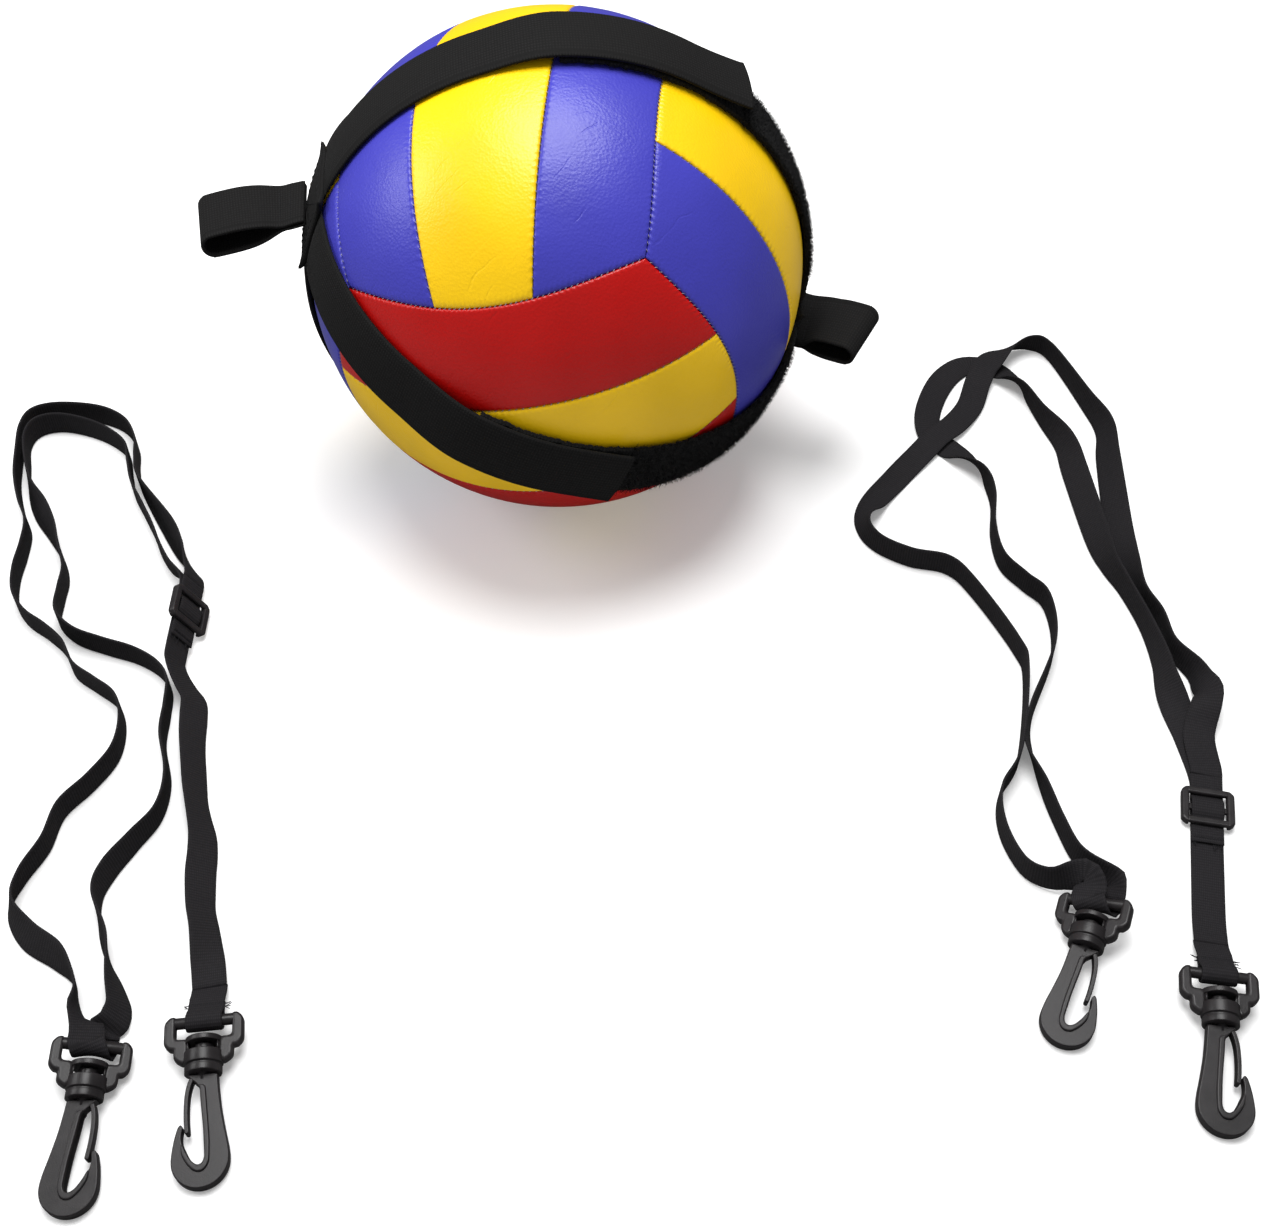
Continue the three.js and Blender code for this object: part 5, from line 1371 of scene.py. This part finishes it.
def cross_bar(start, end, bottom, top):
    corners = [(start, -BAR_HALF), (end, -BAR_HALF), (end, BAR_HALF), (start, BAR_HALF)]
    return rounded_plate(corners, bottom, top, 0.7, 0.3)


def slider_forms():
    rail = rounded_plate(RAIL, 0.85, 4.25, 0.8, 0.8)
    return [rail, mirrored(rail), *[cross_bar(*bar) for bar in BARS]]


def carried_ribbon(name, line, place, width):
    """A ribbon along a line of (x, z) millimetres, in the frame that place gives."""
    rows = smooth_line(line, 0.8) / MM_PER_METRE
    across = (place.to_3x3() @ AXIS_Y).normalized()
    section = flat_section(width, RIBBON_THICKNESS, 8)
    return ribbon(name, [(place @ Vector((x, 0, z)), across) for x, z in rows], section)


SLIDER_PLACES = {}
for side, (heading, roll) in SLIDER_SETTINGS.items():
    middle, _ = lying_rows(ROUTES[f"{side}_inner"])[0]
    turn = Matrix.Rotation(math.radians(heading), 4, "Z") @ Matrix.Rotation(math.radians(roll), 4, "X")
    place = SLIDER_PLACES[side] = Matrix.Translation(middle) @ turn
    body = f"{side}_slider"
    plastic_piece(f"{side}_moulded_slider", slider_forms(), place, body, body)
    woven = carried_ribbon(f"{side}_woven_ribbon", WOVEN_LINE, place, RIBBON_WIDTH)
    dress(woven, ELASTIC_WEB, "elastic_webbing", body, f"{side}_slider_webbing")
print("sliders:", list(SLIDER_PLACES))

# %% [markdown]
# ## Sewn ends
# At its end hook the ribbon goes round the ring's bar and is sewn down on itself. The cut end lies beneath,
# where a zigzag seam holds it, and a few frayed threads come out at its sides. The fold is the same sweep
# as before, and the seam and the loose threads are thin tubes.

# %% Seams and loose threads
SEWN_DROOP = math.radians(17.7)
SEWN_WIDTH = 0.0131
FOLD_RADIUS = 2.95
FOLD_LINE = [(-18.3, -0.6), (-16, -0.55), (-13.5, -0.1), (-11, 0.5), (-8, 0.65), (-5.2, 0.9), (-3.4, 1.9)]
for turn in range(120, -121, -24):
    FOLD_LINE.append((FOLD_RADIUS * math.cos(math.radians(turn)), FOLD_RADIUS * math.sin(math.radians(turn))))
FOLD_LINE += [(-3.4, -1.9), (-5.2, -0.9), (-7.2, -0.55), (-9.4, -0.55)]
FOLD_SEAM_X, FOLD_END_X = -7.6, -9.4
SEAM_THREAD_RADIUS = 0.00016
ZIGZAG_BENDS, ZIGZAG_HALF = 22, 0.55


def in_mm(place, x, y, z):
    return place @ (Vector((x, y, z)) / MM_PER_METRE)


def zigzag(place, start, width, height, side=1):
    """A zigzag seam across a ribbon, just above its surface."""
    line = []
    for i in range(ZIGZAG_BENDS + 1):
        x = start + (ZIGZAG_HALF if i % 2 else -ZIGZAG_HALF)
        across = 0.9 * width * (i / ZIGZAG_BENDS - 0.5) * MM_PER_METRE
        line.append(in_mm(place, x, across, side * height))
    return line


def loose_threads(place, x, height, width, seed, count=9):
    """Frayed threads at a cut end, each with its own bend."""
    rng = np.random.default_rng(seed)
    lines = []
    for _ in range(count):
        y = float(rng.uniform(-0.5, 0.5)) * width * MM_PER_METRE
        reach = float(rng.uniform(1.2, 3.4))
        sideways, rise = float(rng.uniform(-0.9, 0.9)), float(rng.uniform(-0.2, 0.8))
        shares = (-0.15, 0.25, 0.6, 1.0)
        lines.append([in_mm(place, x - reach * t, y + sideways * t * t, height + rise * t) for t in shares])
    return lines


def side_threads(place, x, width, seed, count=5):
    """Threads that come out of a seam beyond both edges of the ribbon."""
    rng = np.random.default_rng(seed)
    edge = width / 2 * MM_PER_METRE
    lines = []
    for side in (-1, 1):
        for _ in range(count):
            start = x + float(rng.uniform(-1.4, 1.4))
            reach, slant = float(rng.uniform(1.2, 2.8)), float(rng.uniform(-0.7, 0.9))
            line = []
            for t in (-0.3, 0.3, 0.7, 1):
                out = reach * t
                line.append(in_mm(place, start + slant * out, side * (edge + out), -0.1 + 0.5 * t * t))
            lines.append(line)
    return lines


def sewn_seams(name, lines, body):
    forms = [thread_form(line, SEAM_THREAD_RADIUS) for line in lines]
    return sewn_piece(name, forms, body, "elastic_webbing")


# %% Folds round the bars
for side, seed in (("left", 3), ("right", 4)):
    middle, across, level, _ = bar_axes(f"{side}_end")
    ahead = level * math.cos(SEWN_DROOP) + AXIS_Z * math.sin(SEWN_DROOP)
    place = axes_at(middle, ahead, across)
    fold = carried_ribbon(f"{side}_sewn_fold", FOLD_LINE, place, SEWN_WIDTH)
    dress(fold, ELASTIC_WEB, "elastic_webbing", "root", f"{side}_sewn_end")
    lines = [zigzag(place, FOLD_SEAM_X, SEWN_WIDTH, 1.22), zigzag(place, FOLD_SEAM_X, SEWN_WIDTH, 1.12, -1)]
    lines += loose_threads(place, FOLD_END_X, -0.55, SEWN_WIDTH, seed)
    lines += side_threads(place, FOLD_SEAM_X, SEWN_WIDTH, seed + 8)
    sewn_seams(f"{side}_sewn_fold_seams", lines, "root")
    place = SLIDER_PLACES[side]
    turned_back = place @ Matrix.Rotation(math.pi, 4, "Z")
    lines = [zigzag(place, 13.9, RIBBON_WIDTH, 2.0)]
    lines += loose_threads(turned_back, -16, 1.4, RIBBON_WIDTH, seed + 4, 6)
    sewn_seams(f"{side}_woven_ribbon_seams", lines, f"{side}_slider")
    print("sewn end of the", side, "rope, faces", len(fold.data.polygons))

# %% [markdown]
# ## The studio
# A soft box stands overhead and a weaker one on the left, over a white sweep, so the shadow stays faint. The
# floor and the world are white where the camera sees them. Reflections see them darker, as in a studio
# with black boards round the ball, so the dark cloth stays dark.

# %% Floor, world and lamps
FLOOR_CORNERS = [(-4, -4, 0), (4, -4, 0), (4, 8, 0), (-4, 8, 0)]
FLOOR_DROP = 0.0002
WHITE = (1, 1, 1, 1)


def kind_share(nodes, link, kind, start, change):
    """start, with the change added where a ray of this kind asks."""
    rays = nodes.new("ShaderNodeLightPath")
    return node_math(nodes, link, "MULTIPLY_ADD", rays.outputs[kind], change, start)


def seen_level(nodes, link, plain, camera_level, mirrored_level):
    """One level for the bounced light, one for the camera and one for reflections."""
    level = kind_share(nodes, link, "Is Camera Ray", plain, camera_level - plain)
    return kind_share(nodes, link, "Is Glossy Ray", level, mirrored_level - plain)


def white_floor(bounce, white, mirrored_white, lift):
    """The floor throws back little light, but the camera sees it white, and wholly white far away."""
    floor = add_piece("studio_floor", FLOOR_CORNERS, [(0, 1, 2, 3)], smooth=False)
    floor.location.z = -FLOOR_DROP
    material, nodes, link, shader = new_material("studio_white")
    shader.inputs["Roughness"].default_value = 0.9
    shader.inputs["Specular IOR Level"].default_value = 0.0
    shader.inputs["Emission Color"].default_value = WHITE
    link(seen_level(nodes, link, bounce, white, mirrored_white), shader.inputs["Base Color"])
    away = nodes.new("ShaderNodeVectorMath")
    away.operation = "LENGTH"
    link(nodes.new("ShaderNodeTexCoord").outputs["Object"], away.inputs[0])
    far_lift = span_of(nodes, link, away.outputs["Value"], 0.5, 1.0, lift, 1.0)
    glow = node_math(nodes, link, "MULTIPLY", far_lift, kind_share(nodes, link, "Is Camera Ray", 0, 1))
    link(glow, shader.inputs["Emission Strength"])
    floor.data.materials.append(material)


def studio_world(strength, mirrored_strength):
    world = bpy.data.worlds.new("studio")
    bpy.context.scene.world = world
    world.use_nodes = True
    nodes, link = world.node_tree.nodes, world.node_tree.links.new
    background = nodes["Background"]
    link(seen_level(nodes, link, strength, 1, mirrored_strength), background.inputs["Strength"])
    background.inputs["Color"].default_value = WHITE


def soft_lamp(name, place, size, power, target=(0, 0, 0.1)):
    data = bpy.data.lights.new(name, "AREA")
    data.shape, data.size, data.energy = "DISK", size, power
    lamp = bpy.data.objects.new(name, data)
    lamp.location = place
    lamp.rotation_euler = (Vector(target) - Vector(place)).to_track_quat("-Z", "Y").to_euler()
    bpy.context.scene.collection.objects.link(lamp)


white_floor(bounce=0.62, white=0.9, mirrored_white=0.12, lift=0.19)
studio_world(strength=0.4, mirrored_strength=0.08)
soft_lamp("overhead_lamp", (0.0, 0.12, 1.5), size=1.0, power=26)
soft_lamp("left_lamp", (-1.4, 0.1, 1.0), size=0.8, power=9)

bpy.context.scene.view_settings.view_transform = "Standard"
print("lamps:", [light.name for light in bpy.data.lights])

# %% [markdown]
# ## Last update
# The dressed model stays inside the imported one's box, apart from a little room for cloth.

# %% Last update
bpy.context.view_layer.update()
